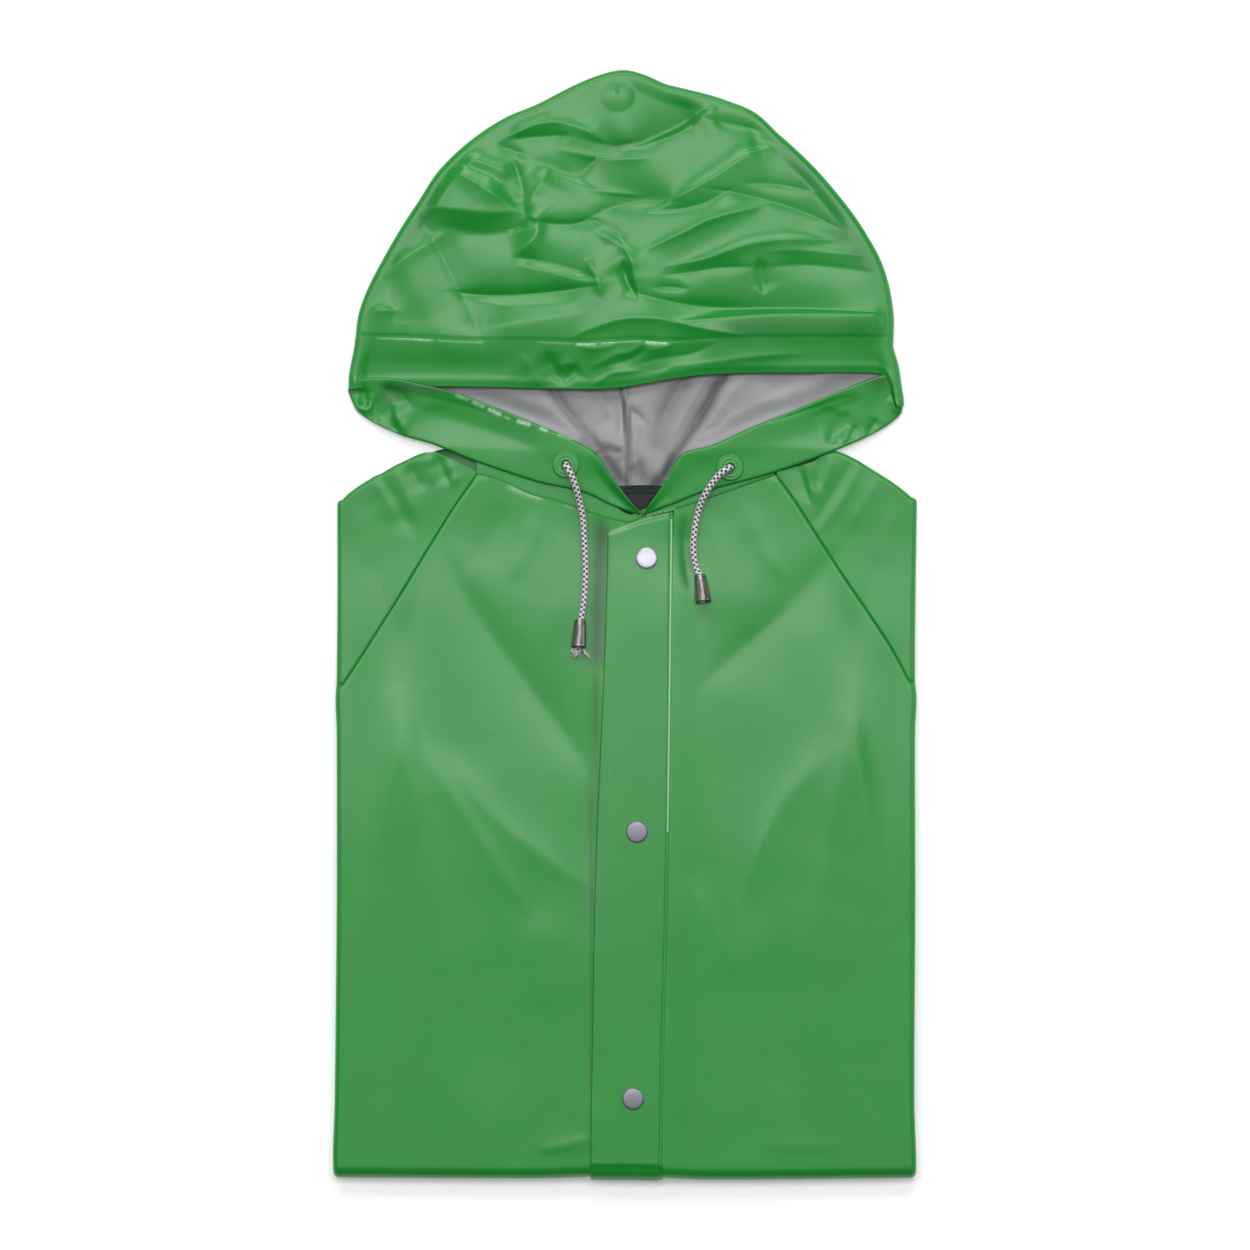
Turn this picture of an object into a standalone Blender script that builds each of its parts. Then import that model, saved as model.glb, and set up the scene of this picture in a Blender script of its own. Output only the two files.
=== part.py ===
"""Hooded raincoat of coated cloth, folded flat with its front up and its hood laid out above it.

Units are metres. X runs across the coat, +Y points from the bottom fold to the top of the hood and +Z points
up from the surface that the coat lies on. Right and left are the wearer's, so the right front is at -X.
"""

from bisect import bisect_right
from collections import namedtuple
from math import atan2, cos, exp, hypot, pi, radians, sin

import bmesh
import bpy
from mathutils import Vector

# Cloth walls and the gaps between them

CLOTH = 0.0012
CASING_CLOTH = 0.0020
FLY_CLOTH = 0.0016
SEAM_GAP = 0.0003
LAY_GAP = 0.0006
CASING_LIFT = 2.5 * LAY_GAP

# The folded body: half the thickness of its pack, at the bottom and at the neck, and how far its edges turn

PACK_HALF = 0.0040
NECK_HALF = 0.00325
NECK_FADE = (-0.010, 0.060)
TURNED_UP = 0.0080
TURNED_UP_NARROWING = 0.85
HEM_Y = -0.0530
HEM_RUN = 0.0350
HALF_WIDTH = 0.1850
PACK_FULLNESS = 0.0012
FULL_FROM_FOLD = 0.030
FULL_BELOW_NECK = 0.060
SHOULDER_INSET = 1.15 * NECK_HALF
HIDDEN_INSET = CLOTH + 1.5 * LAY_GAP
NOTCH_LEAST = 0.0005
SIDE_WRAP = radians(140)
BOTTOM_WRAP = radians(165)
FLY_WRAP = radians(134)
SHOULDER_WRAP = radians(78)
SHOULDER_WRAP_X = (0.120, 0.140)
BEND_LIP = 0.64
SHOULDER_LIP = 0.55
FIRST_STATION = 0.0055
FRONTS_MEET_X = 0.0180
COLLAR_WIDTH = 0.0140
TAPE_LIFT = 3.0 * LAY_GAP

# Where the soft folds of the body and of the lining die out

FOLD_CALM_AT_SIDE = 0.014
FOLD_CALM_AT_BOTTOM = 0.012
FOLD_CALM_AT_SHOULDER = (-0.010, 0.004)
NECK_RING_CENTRE_Y = 0.105
NECK_RING_RADIUS = 0.085
NECK_RING_CALM = (0.004, 0.020)
LINING_CALM_AT_CASING = (0.002, 0.014)
LINING_CALM_UNDER_BRIM = (0.166, 0.180)

# The hood

RIM_WRAP = radians(150)
RIM_HALF = 0.0040
RIM_CALM = 0.12
BEARING_STEP = 1.5
DOME_RISE = 0.0065
DOME_POWER = 2.6
BACK_CLIMB = (-0.004, 0.026)
CREASE_LINE_Y = 0.1860
CASING_MEET_X = 0.011
CASING_PUFF = 0.0010
PUFF_GROWS = (0.0, 0.2)
PUFF_ENDS = (0.75, 1.0)

# The hard pieces

SNAP_RADIUS = 0.0075
SNAP_HEIGHT = 0.0022
CORD_DIAMETER = 0.0043
CORD_STEP = 0.005
EYELET_RADIUS = 0.0085
EYELET_HOLE = 0.0032
EYELET_HEIGHT = 0.0008
EYELET_LIFT = 0.0009
BELL_LENGTH = 0.0180
BELL_TOP_RADIUS = 0.0032
BELL_MOUTH_RADIUS = 0.00485
BELL_WALL = 0.0006
BELL_THROAT = 0.0030
BELL_EDGE = 0.0002
BELL_OVERLAP = 0.0010

# Outlines, each a short table of points in order

Edge = namedtuple("Edge", "y right left")
SIDE_EDGES = (
    Edge(-0.361, 0.1885, 0.1890),
    Edge(-0.350, 0.1902, 0.1897),
    Edge(-0.310, 0.1891, 0.1885),
    Edge(-0.180, 0.1878, 0.1891),
    Edge(-0.069, 0.1879, 0.1890),
    Edge(-0.048, 0.1886, 0.1900),
    Edge(-0.036, 0.1879, 0.1890),
    Edge(0.027, 0.1874, 0.1894),
    Edge(0.082, 0.1876, 0.1903),
)
Point = namedtuple("Point", "x y")
BOTTOM_EDGE = (
    Point(-0.1900, -0.3598),
    Point(-0.0600, -0.3606),
    Point(0.0000, -0.3592),
    Point(0.0520, -0.3614),
    Point(0.1900, -0.3602),
)
SHOULDER_EDGE = (
    Point(-0.1880, 0.0790),
    Point(-0.1800, 0.0870),
    Point(-0.1658, 0.0962),
    Point(-0.1240, 0.1160),
    Point(-0.0950, 0.1180),
    Point(0.0000, 0.1120),
    Point(0.1000, 0.1180),
    Point(0.1380, 0.1134),
    Point(0.1682, 0.0965),
    Point(0.1800, 0.0880),
    Point(0.1900, 0.0790),
)
RAGLAN_RIGHT = (
    Point(-0.1882, -0.0441),
    Point(-0.1689, -0.0141),
    Point(-0.1515, 0.0133),
    Point(-0.1290, 0.0495),
    Point(-0.1116, 0.0769),
    Point(-0.0966, 0.0981),
)
RAGLAN_LEFT = (
    Point(0.0972, 0.0978),
    Point(0.1095, 0.0807),
    Point(0.1395, 0.0345),
    Point(0.1570, 0.0096),
    Point(0.1744, -0.0166),
    Point(0.1897, -0.0460),
)
NECK_SEAM = (
    Point(-0.0966, 0.0981),
    Point(-0.0815, 0.0942),
    Point(-0.0622, 0.0852),
    Point(-0.0441, 0.0804),
    Point(-0.0248, 0.0737),
    Point(0.0029, 0.0665),
    Point(0.0110, 0.0700),
    Point(0.0331, 0.0756),
    Point(0.0502, 0.0812),
    Point(0.0972, 0.0978),
)
HOOD_HUB = Point(0.0, 0.170)
APEX_BEARING = 91.2
BACK_SEAM_X = 0.0023
NeckBearings = namedtuple("NeckBearings", "right left")
NECK_BEARINGS = NeckBearings(202.0, -21.5)
HOOD_OUTLINE = (
    Point(-0.1249, 0.1166),
    Point(-0.1470, 0.1240),
    Point(-0.1740, 0.1380),
    Point(-0.1801, 0.1529),
    Point(-0.1764, 0.1811),
    Point(-0.1732, 0.2045),
    Point(-0.1556, 0.2425),
    Point(-0.1359, 0.2744),
    Point(-0.1212, 0.2965),
    Point(-0.0795, 0.3300),
    Point(-0.0550, 0.3406),
    Point(-0.0120, 0.3600),
    Point(0.0000, 0.3618),
    Point(0.0125, 0.3588),
    Point(0.0285, 0.3521),
    Point(0.0653, 0.3423),
    Point(0.0849, 0.3340),
    Point(0.1020, 0.3185),
    Point(0.1340, 0.2866),
    Point(0.1560, 0.2572),
    Point(0.1683, 0.2339),
    Point(0.1749, 0.2045),
    Point(0.1749, 0.1775),
    Point(0.1781, 0.1627),
    Point(0.1818, 0.1456),
    Point(0.1793, 0.1370),
    Point(0.1376, 0.1132),
)
BRIM_EDGE = (
    Point(-0.1840, 0.1524),
    Point(-0.1610, 0.1549),
    Point(-0.0985, 0.1549),
    Point(-0.0059, 0.1542),
    Point(0.0502, 0.1627),
    Point(0.1232, 0.1642),
    Point(0.1669, 0.1627),
    Point(0.1840, 0.1520),
)
SLEEVE_NECK_RIGHT = (Point(-0.1260, 0.1140), Point(-0.0966, 0.1000))
SLEEVE_NECK_LEFT = (Point(0.0972, 0.0995), Point(0.1380, 0.1110))
BACK_NECK_EDGE = (
    Point(-0.1225, 0.1185),
    Point(-0.0966, 0.1140),
    Point(-0.0441, 0.0960),
    Point(-0.0160, 0.0905),
    Point(0.0120, 0.0905),
    Point(0.0400, 0.0912),
    Point(0.0972, 0.1140),
    Point(0.1350, 0.1165),
)
CASING_LOWER_RIGHT = (
    Point(0.0098, 0.0715),
    Point(-0.0050, 0.0763),
    Point(-0.0274, 0.0863),
    Point(-0.0574, 0.0931),
    Point(-0.0985, 0.1069),
    Point(-0.1247, 0.1174),
    Point(-0.1470, 0.1240),
    Point(-0.1735, 0.1385),
)
CASING_UPPER_RIGHT = (
    Point(0.0098, 0.0730),
    Point(-0.0074, 0.0950),
    Point(-0.0186, 0.1112),
    Point(-0.0299, 0.1187),
    Point(-0.0611, 0.1324),
    Point(-0.0923, 0.1449),
    Point(-0.1197, 0.1542),
    Point(-0.1680, 0.1600),
)
CASING_LOWER_LEFT = (
    Point(0.0122, 0.0715),
    Point(0.0329, 0.0775),
    Point(0.0502, 0.0854),
    Point(0.0968, 0.0990),
    Point(0.1367, 0.1134),
    Point(0.1647, 0.1260),
    Point(0.1785, 0.1375),
)
CASING_UPPER_LEFT = (
    Point(0.0122, 0.0730),
    Point(0.0276, 0.0961),
    Point(0.0369, 0.1114),
    Point(0.0569, 0.1174),
    Point(0.0835, 0.1294),
    Point(0.1167, 0.1427),
    Point(0.1690, 0.1640),
)
FlyEdge = namedtuple("FlyEdge", "y free sewn")
FLY_EDGES = (
    FlyEdge(-0.3610, -0.0220, 0.0239),
    FlyEdge(-0.2774, -0.0209, 0.0256),
    FlyEdge(-0.1398, -0.0182, 0.0288),
    FlyEdge(-0.0368, -0.0135, 0.0302),
    FlyEdge(0.0660, -0.0104, 0.0314),
)
FLY_TOP = (Point(-0.0104, 0.0595), Point(0.0029, 0.0640), Point(0.0110, 0.0675), Point(0.0314, 0.0730))
Snap = namedtuple("Snap", "name x y")
SNAPS = (
    Snap("snap_top", 0.0141, 0.0436),
    Snap("snap_middle", 0.0078, -0.1346),
    Snap("snap_bottom", 0.0053, -0.3082),
)
EYELET_RIGHT = Point(-0.0385, 0.1045)
EYELET_LEFT = Point(0.0685, 0.1027)
CollarEnds = namedtuple("CollarEnds", "right left")
COLLAR_ENDS = CollarEnds(-0.006, 0.026)
NECK_TAPE = (Point(-0.0060, 0.0895), Point(0.0260, 0.0895))

# Soft folds: a ridge (or a trough, where the height is below zero) along a line, fading at both ends

Fold = namedtuple("Fold", "x0 y0 x1 y1 width height")
BODY_FOLDS = (
    Fold(-0.127, 0.029, -0.081, -0.023, 0.016, 0.0012),
    Fold(-0.081, -0.023, -0.018, -0.114, 0.018, 0.0013),
    Fold(-0.153, -0.043, -0.042, -0.160, 0.020, 0.0009),
    Fold(-0.142, -0.015, -0.140, -0.085, 0.018, 0.0012),
    Fold(0.143, -0.015, 0.141, -0.085, 0.018, 0.0012),
    Fold(0.147, 0.003, 0.088, -0.049, 0.016, 0.0010),
    Fold(0.088, -0.049, 0.042, -0.114, 0.018, 0.0012),
    Fold(-0.055, -0.339, -0.023, -0.330, 0.010, 0.0010),
    Fold(-0.144, 0.094, -0.134, 0.070, 0.006, 0.0009),
    Fold(-0.162, 0.088, -0.146, 0.066, 0.007, 0.0010),
    Fold(0.145, 0.094, 0.123, 0.077, 0.006, 0.0009),
    Fold(0.166, 0.086, 0.148, 0.064, 0.007, 0.0010),
)
CROWN_FOLDS = (
    Fold(-0.109, 0.217, -0.021, 0.220, 0.009, -0.0026),
    Fold(-0.100, 0.236, -0.020, 0.238, 0.010, 0.0016),
    Fold(-0.069, 0.270, -0.082, 0.238, 0.008, -0.0022),
    Fold(-0.119, 0.295, -0.067, 0.268, 0.008, -0.0018),
    Fold(-0.134, 0.276, -0.060, 0.268, 0.007, 0.0014),
    Fold(-0.070, 0.316, -0.040, 0.315, 0.008, 0.0014),
    Fold(0.004, 0.244, 0.004, 0.212, 0.007, -0.0018),
    Fold(0.029, 0.236, 0.097, 0.254, 0.008, 0.0018),
    Fold(0.009, 0.214, 0.114, 0.212, 0.008, -0.0020),
    Fold(0.055, 0.232, 0.141, 0.254, 0.007, -0.0016),
    Fold(0.021, 0.271, 0.073, 0.297, 0.009, 0.0016),
    Fold(0.036, 0.283, 0.100, 0.312, 0.007, -0.0016),
    Fold(0.011, 0.322, 0.055, 0.337, 0.007, -0.0012),
    Fold(0.078, 0.204, 0.173, 0.209, 0.012, -0.0022),
    Fold(-0.143, 0.258, -0.151, 0.200, 0.012, -0.0016),
    Fold(-0.005, 0.344, -0.005, 0.342, 0.011, 0.0014),
    Fold(-0.042, 0.158, -0.036, 0.166, 0.006, -0.0014),
    Fold(-0.030, 0.166, 0.045, 0.172, 0.007, -0.0009),
)
LINING_FOLDS = (
    Fold(0.074, 0.163, 0.048, 0.118, 0.008, 0.0024),
    Fold(0.040, 0.160, 0.022, 0.110, 0.009, 0.0018),
    Fold(-0.036, 0.152, -0.012, 0.110, 0.009, 0.0016),
    Fold(-0.075, 0.155, -0.042, 0.128, 0.010, 0.0018),
    Fold(0.110, 0.165, 0.092, 0.150, 0.009, 0.0016),
)

# Cord routes, points picked along each free end, from the cord hole to the bell

RoutePoint = namedtuple("RoutePoint", "x y z")
CORD_RIGHT_ROUTE = (
    RoutePoint(-0.0385, 0.1045, 0.0122),
    RoutePoint(-0.0384, 0.1040, 0.0143),
    RoutePoint(-0.0366, 0.1010, 0.0163),
    RoutePoint(-0.0340, 0.0955, 0.0162),
    RoutePoint(-0.0318, 0.0890, 0.0151),
    RoutePoint(-0.0295, 0.0800, 0.0114),
    RoutePoint(-0.0274, 0.0689, 0.0093),
    RoutePoint(-0.0266, 0.0569, 0.0091),
    RoutePoint(-0.0260, 0.0448, 0.0095),
    RoutePoint(-0.0258, 0.0327, 0.0102),
    RoutePoint(-0.0263, 0.0207, 0.0109),
    RoutePoint(-0.0274, 0.0111, 0.0115),
    RoutePoint(-0.0291, 0.0020, 0.0128),
)
CORD_LEFT_ROUTE = (
    RoutePoint(0.0685, 0.1027, 0.0122),
    RoutePoint(0.0682, 0.1026, 0.0143),
    RoutePoint(0.0655, 0.1010, 0.0163),
    RoutePoint(0.0610, 0.0975, 0.0163),
    RoutePoint(0.0570, 0.0925, 0.0155),
    RoutePoint(0.0524, 0.0855, 0.0139),
    RoutePoint(0.0487, 0.0772, 0.0108),
    RoutePoint(0.0466, 0.0689, 0.0093),
    RoutePoint(0.0451, 0.0593, 0.0091),
    RoutePoint(0.0445, 0.0520, 0.0092),
    RoutePoint(0.0449, 0.0448, 0.0096),
    RoutePoint(0.0463, 0.0376, 0.0101),
    RoutePoint(0.0489, 0.0314, 0.0114),
)
BELL_RIGHT_MOUTH = Point(-0.0303, -0.0166)
BELL_LEFT_MOUTH = Point(0.0514, 0.0137)

Colour = namedtuple("Colour", "red green blue roughness metallic")
COLOURS = {
    "coated_green": Colour(0.055, 0.305, 0.075, 0.38, 0.0),
    "lining_grey": Colour(0.260, 0.260, 0.275, 0.55, 0.0),
    "tape_black": Colour(0.012, 0.012, 0.013, 0.80, 0.0),
    "cord_grey": Colour(0.560, 0.500, 0.530, 0.85, 0.0),
    "bell_metal": Colour(0.240, 0.220, 0.215, 0.32, 1.0),
    "snap_metal": Colour(0.600, 0.600, 0.590, 0.35, 1.0),
}


# Helpers for tables, curves and folds

def spans(start, stop, steps):
    """Evenly spaced values from start to stop, both included."""
    return [start + (stop - start) * i / steps for i in range(steps + 1)]


def blend(a, b, t):
    return a + (b - a) * t


def fade(low, high, value):
    """0 below low, 1 above high, and a smooth step between."""
    t = min(1.0, max(0.0, (value - low) / (high - low)))
    return t * t * (3.0 - 2.0 * t)


def follow(pairs, at):
    """Smooth curve through (position, value) pairs in rising position, held level past both ends."""
    places = [pair[0] for pair in pairs]
    values = [pair[1] for pair in pairs]
    last = len(pairs) - 1
    if at <= places[0]:
        return values[0]
    if at >= places[last]:
        return values[last]
    i = min(bisect_right(places, at) - 1, last - 1)

    def slope(k):
        low, high = max(k - 1, 0), min(k + 1, last)
        return (values[high] - values[low]) / (places[high] - places[low])

    width = places[i + 1] - places[i]
    t = (at - places[i]) / width
    rise = t * t * (3.0 - 2.0 * t)
    leave = slope(i) * width * t * (1.0 - t) ** 2
    arrive = slope(i + 1) * width * t * t * (1.0 - t)
    return blend(values[i], values[i + 1], rise) + leave - arrive


def route_point(route, t):
    """Point at t, from 0 to 1, on a smooth curve through a route's points."""
    stations = [0.0]
    for a, b in zip(route, route[1:]):
        stations.append(stations[-1] + (Vector(b) - Vector(a)).length)
    at = t * stations[-1]
    return Vector([follow(list(zip(stations, axis)), at) for axis in zip(*route)])


def route_length(route):
    return sum((Vector(b) - Vector(a)).length for a, b in zip(route, route[1:]))


def fold_relief(folds, x, y):
    """Sum of the soft folds at a place."""
    total = 0.0
    for fold in folds:
        run_x, run_y = fold.x1 - fold.x0, fold.y1 - fold.y0
        t = ((x - fold.x0) * run_x + (y - fold.y0) * run_y) / (run_x * run_x + run_y * run_y)
        t = min(1.0, max(0.0, t))
        away = hypot(x - fold.x0 - t * run_x, y - fold.y0 - t * run_y)
        total += fold.height * exp(-(away / fold.width) ** 2)
    return total


# The folded body: a flat pack whose lower half is turned up behind it

def side_edge(side, y):
    """Half width of the folded body at y, on the right side (-1) or the left side (+1)."""
    return follow([(edge.y, edge.left if side > 0 else edge.right) for edge in SIDE_EDGES], y)


def half_pack(y):
    """Half of the folded pack's thickness."""
    return blend(PACK_HALF, NECK_HALF, fade(*NECK_FADE, y))


def pack_middle(y):
    """Height of the pack's middle: it lies on the turned-up part below the hem, on the surface above it."""
    return half_pack(y) + TURNED_UP * (1.0 - fade(HEM_Y - HEM_RUN, HEM_Y + HEM_RUN, y))


def notch_height(y):
    """Height where the folded pack lies on the turned-up part, almost nothing above the hem."""
    return max(pack_middle(y) - half_pack(y), NOTCH_LEAST)


def bottom_bend(x):
    return follow(BOTTOM_EDGE, x) + 2.0 * PACK_HALF


def shoulder_bend(x):
    return follow(SHOULDER_EDGE, x) - SHOULDER_INSET


def pack_bulge(x, y):
    """Slight fullness of the pack between its side folds, gone before the neck and at the bottom fold."""
    across = min(1.0, abs(x) / HALF_WIDTH)
    along = (1.0 - fade(0.0, FULL_BELOW_NECK, y)) * fade(0.0, FULL_FROM_FOLD, y - bottom_bend(x))
    return PACK_FULLNESS * (1.0 - across ** 4) * along


def body_relief(x, y):
    """Height of the body's soft folds above their lowest level, gone at the edges and the neck."""
    inside = fade(0.0, FOLD_CALM_AT_SIDE, HALF_WIDTH - abs(x))
    below_shoulder = 1.0 - fade(*FOLD_CALM_AT_SHOULDER, y - follow(SHOULDER_EDGE, x))
    off_neck = fade(*NECK_RING_CALM, hypot(x, y - NECK_RING_CENTRE_Y) - NECK_RING_RADIUS)
    above_fold = fade(0.0, FOLD_CALM_AT_BOTTOM, y - bottom_bend(x))
    return max(0.0, fold_relief(BODY_FOLDS, x, y)) * inside * below_shoulder * off_neck * above_fold


def across_body(x, y):
    """Moves a nominal place across the body to the real half width at y."""
    side = 1 if x > 0 else -1
    return x * (side_edge(side, y) - half_pack(y)) / HALF_WIDTH


def body_point(x, y, lift, side_turn=0.0, bottom_turn=0.0, shoulder_turn=0.0):
    """Point of the body's outer wrap, raised by lift and turned over the side, the bottom or the shoulder."""
    side = 1 if x > 0 else -1
    radius = half_pack(y) + lift
    level = radius * cos(side_turn)
    place_x = across_body(x, y) + side * radius * sin(side_turn)
    if bottom_turn:
        reach = PACK_HALF + level
        return Vector((place_x, y - reach * sin(bottom_turn), TURNED_UP + reach * cos(bottom_turn)))
    place_y = y + level * sin(shoulder_turn)
    return Vector((place_x, place_y, pack_middle(y) + level * cos(shoulder_turn)))


def body_top(x, y):
    """Height of the body's outer face, away from the folds at its edges."""
    return pack_middle(y) + half_pack(y) + pack_bulge(x, y) + body_relief(x, y)


def neck_seam(x):
    return follow(NECK_SEAM, x)


def raglan_seam(x):
    return follow(RAGLAN_RIGHT if x < 0 else RAGLAN_LEFT, x)


# The hood: its back lies on the surface and climbs to the neck, its top is a low dome over that

def hub_bearing(x, y):
    """Direction from the hood's hub in degrees, from -90 up to 270, with 90 towards the apex."""
    angle = atan2(y - HOOD_HUB.y, x - HOOD_HUB.x) * 180.0 / pi
    return angle + 360.0 if angle < -90.0 else angle


def hub_distance(x, y):
    return hypot(x - HOOD_HUB.x, y - HOOD_HUB.y)


OUTLINE_FROM_HUB = [(hub_bearing(*point), hub_distance(*point)) for point in reversed(HOOD_OUTLINE)]


def rim_reach(bearing):
    """Distance from the hood's hub to its outline, in a direction in degrees."""
    return follow(OUTLINE_FROM_HUB, bearing)


def outline_point(bearing):
    turn, reach = radians(bearing), rim_reach(bearing)
    return Vector((HOOD_HUB.x + reach * cos(turn), HOOD_HUB.y + reach * sin(turn)))


def rim_point(bearing, inset):
    """Point on the hood's outline, moved in by inset, and the outward direction there."""
    run = outline_point(bearing + BEARING_STEP) - outline_point(bearing - BEARING_STEP)
    outward = Vector((run.y, -run.x)).normalized()
    return outline_point(bearing) - inset * outward, outward


def crown_top(x, y):
    """Height of the outer face of the hood's top."""
    share = min(1.0, hub_distance(x, y) / (rim_reach(hub_bearing(x, y)) - RIM_HALF))
    inside = fade(0.0, RIM_CALM, 1.0 - share)
    dome = DOME_RISE * (1.0 - share ** DOME_POWER)
    return 2.0 * RIM_HALF + dome + fold_relief(CROWN_FOLDS, x, y) * inside


def hood_back_bottom(x, y):
    """Height of the underside of the hood's back: flat on the surface, climbing over the shoulders at the neck."""
    beyond = y - follow(SHOULDER_EDGE, x)
    plateau = 2.0 * NECK_HALF - CLOTH
    return plateau * (1.0 - fade(*BACK_CLIMB, beyond))


def casing_upper(x):
    points = CASING_UPPER_RIGHT if x < CASING_MEET_X else CASING_UPPER_LEFT
    return follow(sorted(points), x)


def lining_relief(x, y):
    """Soft folds of the lining, only in the part of it that the face opening shows."""
    shown = fade(*LINING_CALM_AT_CASING, y - casing_upper(x))
    before_brim = 1.0 - fade(*LINING_CALM_UNDER_BRIM, y)
    return max(0.0, fold_relief(LINING_FOLDS, x, y)) * shown * before_brim


def casing_bottom(x, y):
    """Height of the underside of the casing's lower stretches, which lie over the neck and the hood's back."""
    return hood_back_bottom(x, y) + CLOTH + CASING_LIFT


def casing_place(lower, upper, along, across):
    """Point under a lower stretch of the casing: along from the neck out, across from its lower edge up."""
    spot = route_point(lower, along).lerp(route_point(upper, along), across)
    puff = CASING_PUFF * sin(pi * across) * fade(*PUFF_GROWS, along) * (1.0 - fade(*PUFF_ENDS, along))
    return Vector((spot.x, spot.y, casing_bottom(spot.x, spot.y) + puff))


def casing_face(x, y):
    """Height of the outer face of a lower casing, at most."""
    return casing_bottom(x, y) + CASING_CLOTH + CASING_PUFF


# Building meshes

def new_collection(name):
    group = bpy.data.collections.new(name)
    bpy.context.scene.collection.children.link(group)
    return group


def make_material(name):
    colour = COLOURS[name]
    material = bpy.data.materials.new(name)
    material.use_nodes = True
    shader = material.node_tree.nodes["Principled BSDF"]
    shader.inputs["Base Color"].default_value = (colour.red, colour.green, colour.blue, 1.0)
    shader.inputs["Roughness"].default_value = colour.roughness
    shader.inputs["Metallic"].default_value = colour.metallic
    return material


def add_object(name, mesh, material, group):
    """Puts a smooth-shaded mesh object in the coat's collection."""
    mesh.shade_smooth()
    mesh.materials.append(material)
    piece = bpy.data.objects.new(name, mesh)
    group.objects.link(piece)
    return piece


def grid_mesh(name, across, along, place):
    """Mesh of a grid whose point (i, j) lies at place(across[i], along[j]), welded where points meet."""
    steps_across, steps_along = len(across) - 1, len(along) - 1
    sheet = bmesh.new()
    bmesh.ops.create_grid(sheet, x_segments=steps_across, y_segments=steps_along, size=0.5)
    for corner in sheet.verts:
        i = round((corner.co.x + 0.5) * steps_across)
        j = round((corner.co.y + 0.5) * steps_along)
        corner.co = place(across[i], along[j])
    bmesh.ops.remove_doubles(sheet, verts=sheet.verts, dist=0.00002)
    mesh = bpy.data.meshes.new(name)
    sheet.to_mesh(mesh)
    sheet.free()
    return mesh


def add_cloth(name, across, along, place, thickness, material, group):
    """Cloth wall: the grid is its under face, and Solidify raises the outer face from it."""
    piece = add_object(name, grid_mesh(name, across, along, place), material, group)
    wall = piece.modifiers.new("Wall", "SOLIDIFY")
    wall.thickness = thickness
    wall.offset = 1.0
    wall.use_even_offset = True
    return piece


def add_turned(name, profile, steps, material, group, place, aim=Vector((0.0, 0.0, 1.0))):
    """Turned piece: a profile of (radius, height) pairs, running down the outer side, about an axis."""
    outline = bmesh.new()
    corners = [outline.verts.new((radius, 0.0, height)) for radius, height in profile]
    for a, b in zip(corners, corners[1:]):
        outline.edges.new((a, b))
    mesh = bpy.data.meshes.new(name)
    outline.to_mesh(mesh)
    outline.free()
    piece = add_object(name, mesh, material, group)
    turn = piece.modifiers.new("Turn", "SCREW")
    turn.steps = steps
    turn.render_steps = steps
    turn.use_merge_vertices = True
    turn.merge_threshold = 0.00001
    piece.location = place
    piece.rotation_euler = aim.to_track_quat("Z", "Y").to_euler()
    return piece


def add_cord(name, route, material, group):
    """Round cord on a smooth curve through its route points."""
    count = round(route_length(route) / CORD_STEP)
    line = bpy.data.curves.new(name, "CURVE")
    line.dimensions = "3D"
    line.bevel_depth = CORD_DIAMETER / 2.0
    line.bevel_resolution = 2
    line.use_fill_caps = True
    path = line.splines.new("POLY")
    path.points.add(count)
    for point, t in zip(path.points, spans(0.0, 1.0, count)):
        point.co = (*route_point(route, t), 1.0)
    line.materials.append(material)
    piece = bpy.data.objects.new(name, line)
    group.objects.link(piece)
    return piece


# The hidden layers, one rounded solid with the turned-up part as its lower lobe

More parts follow.
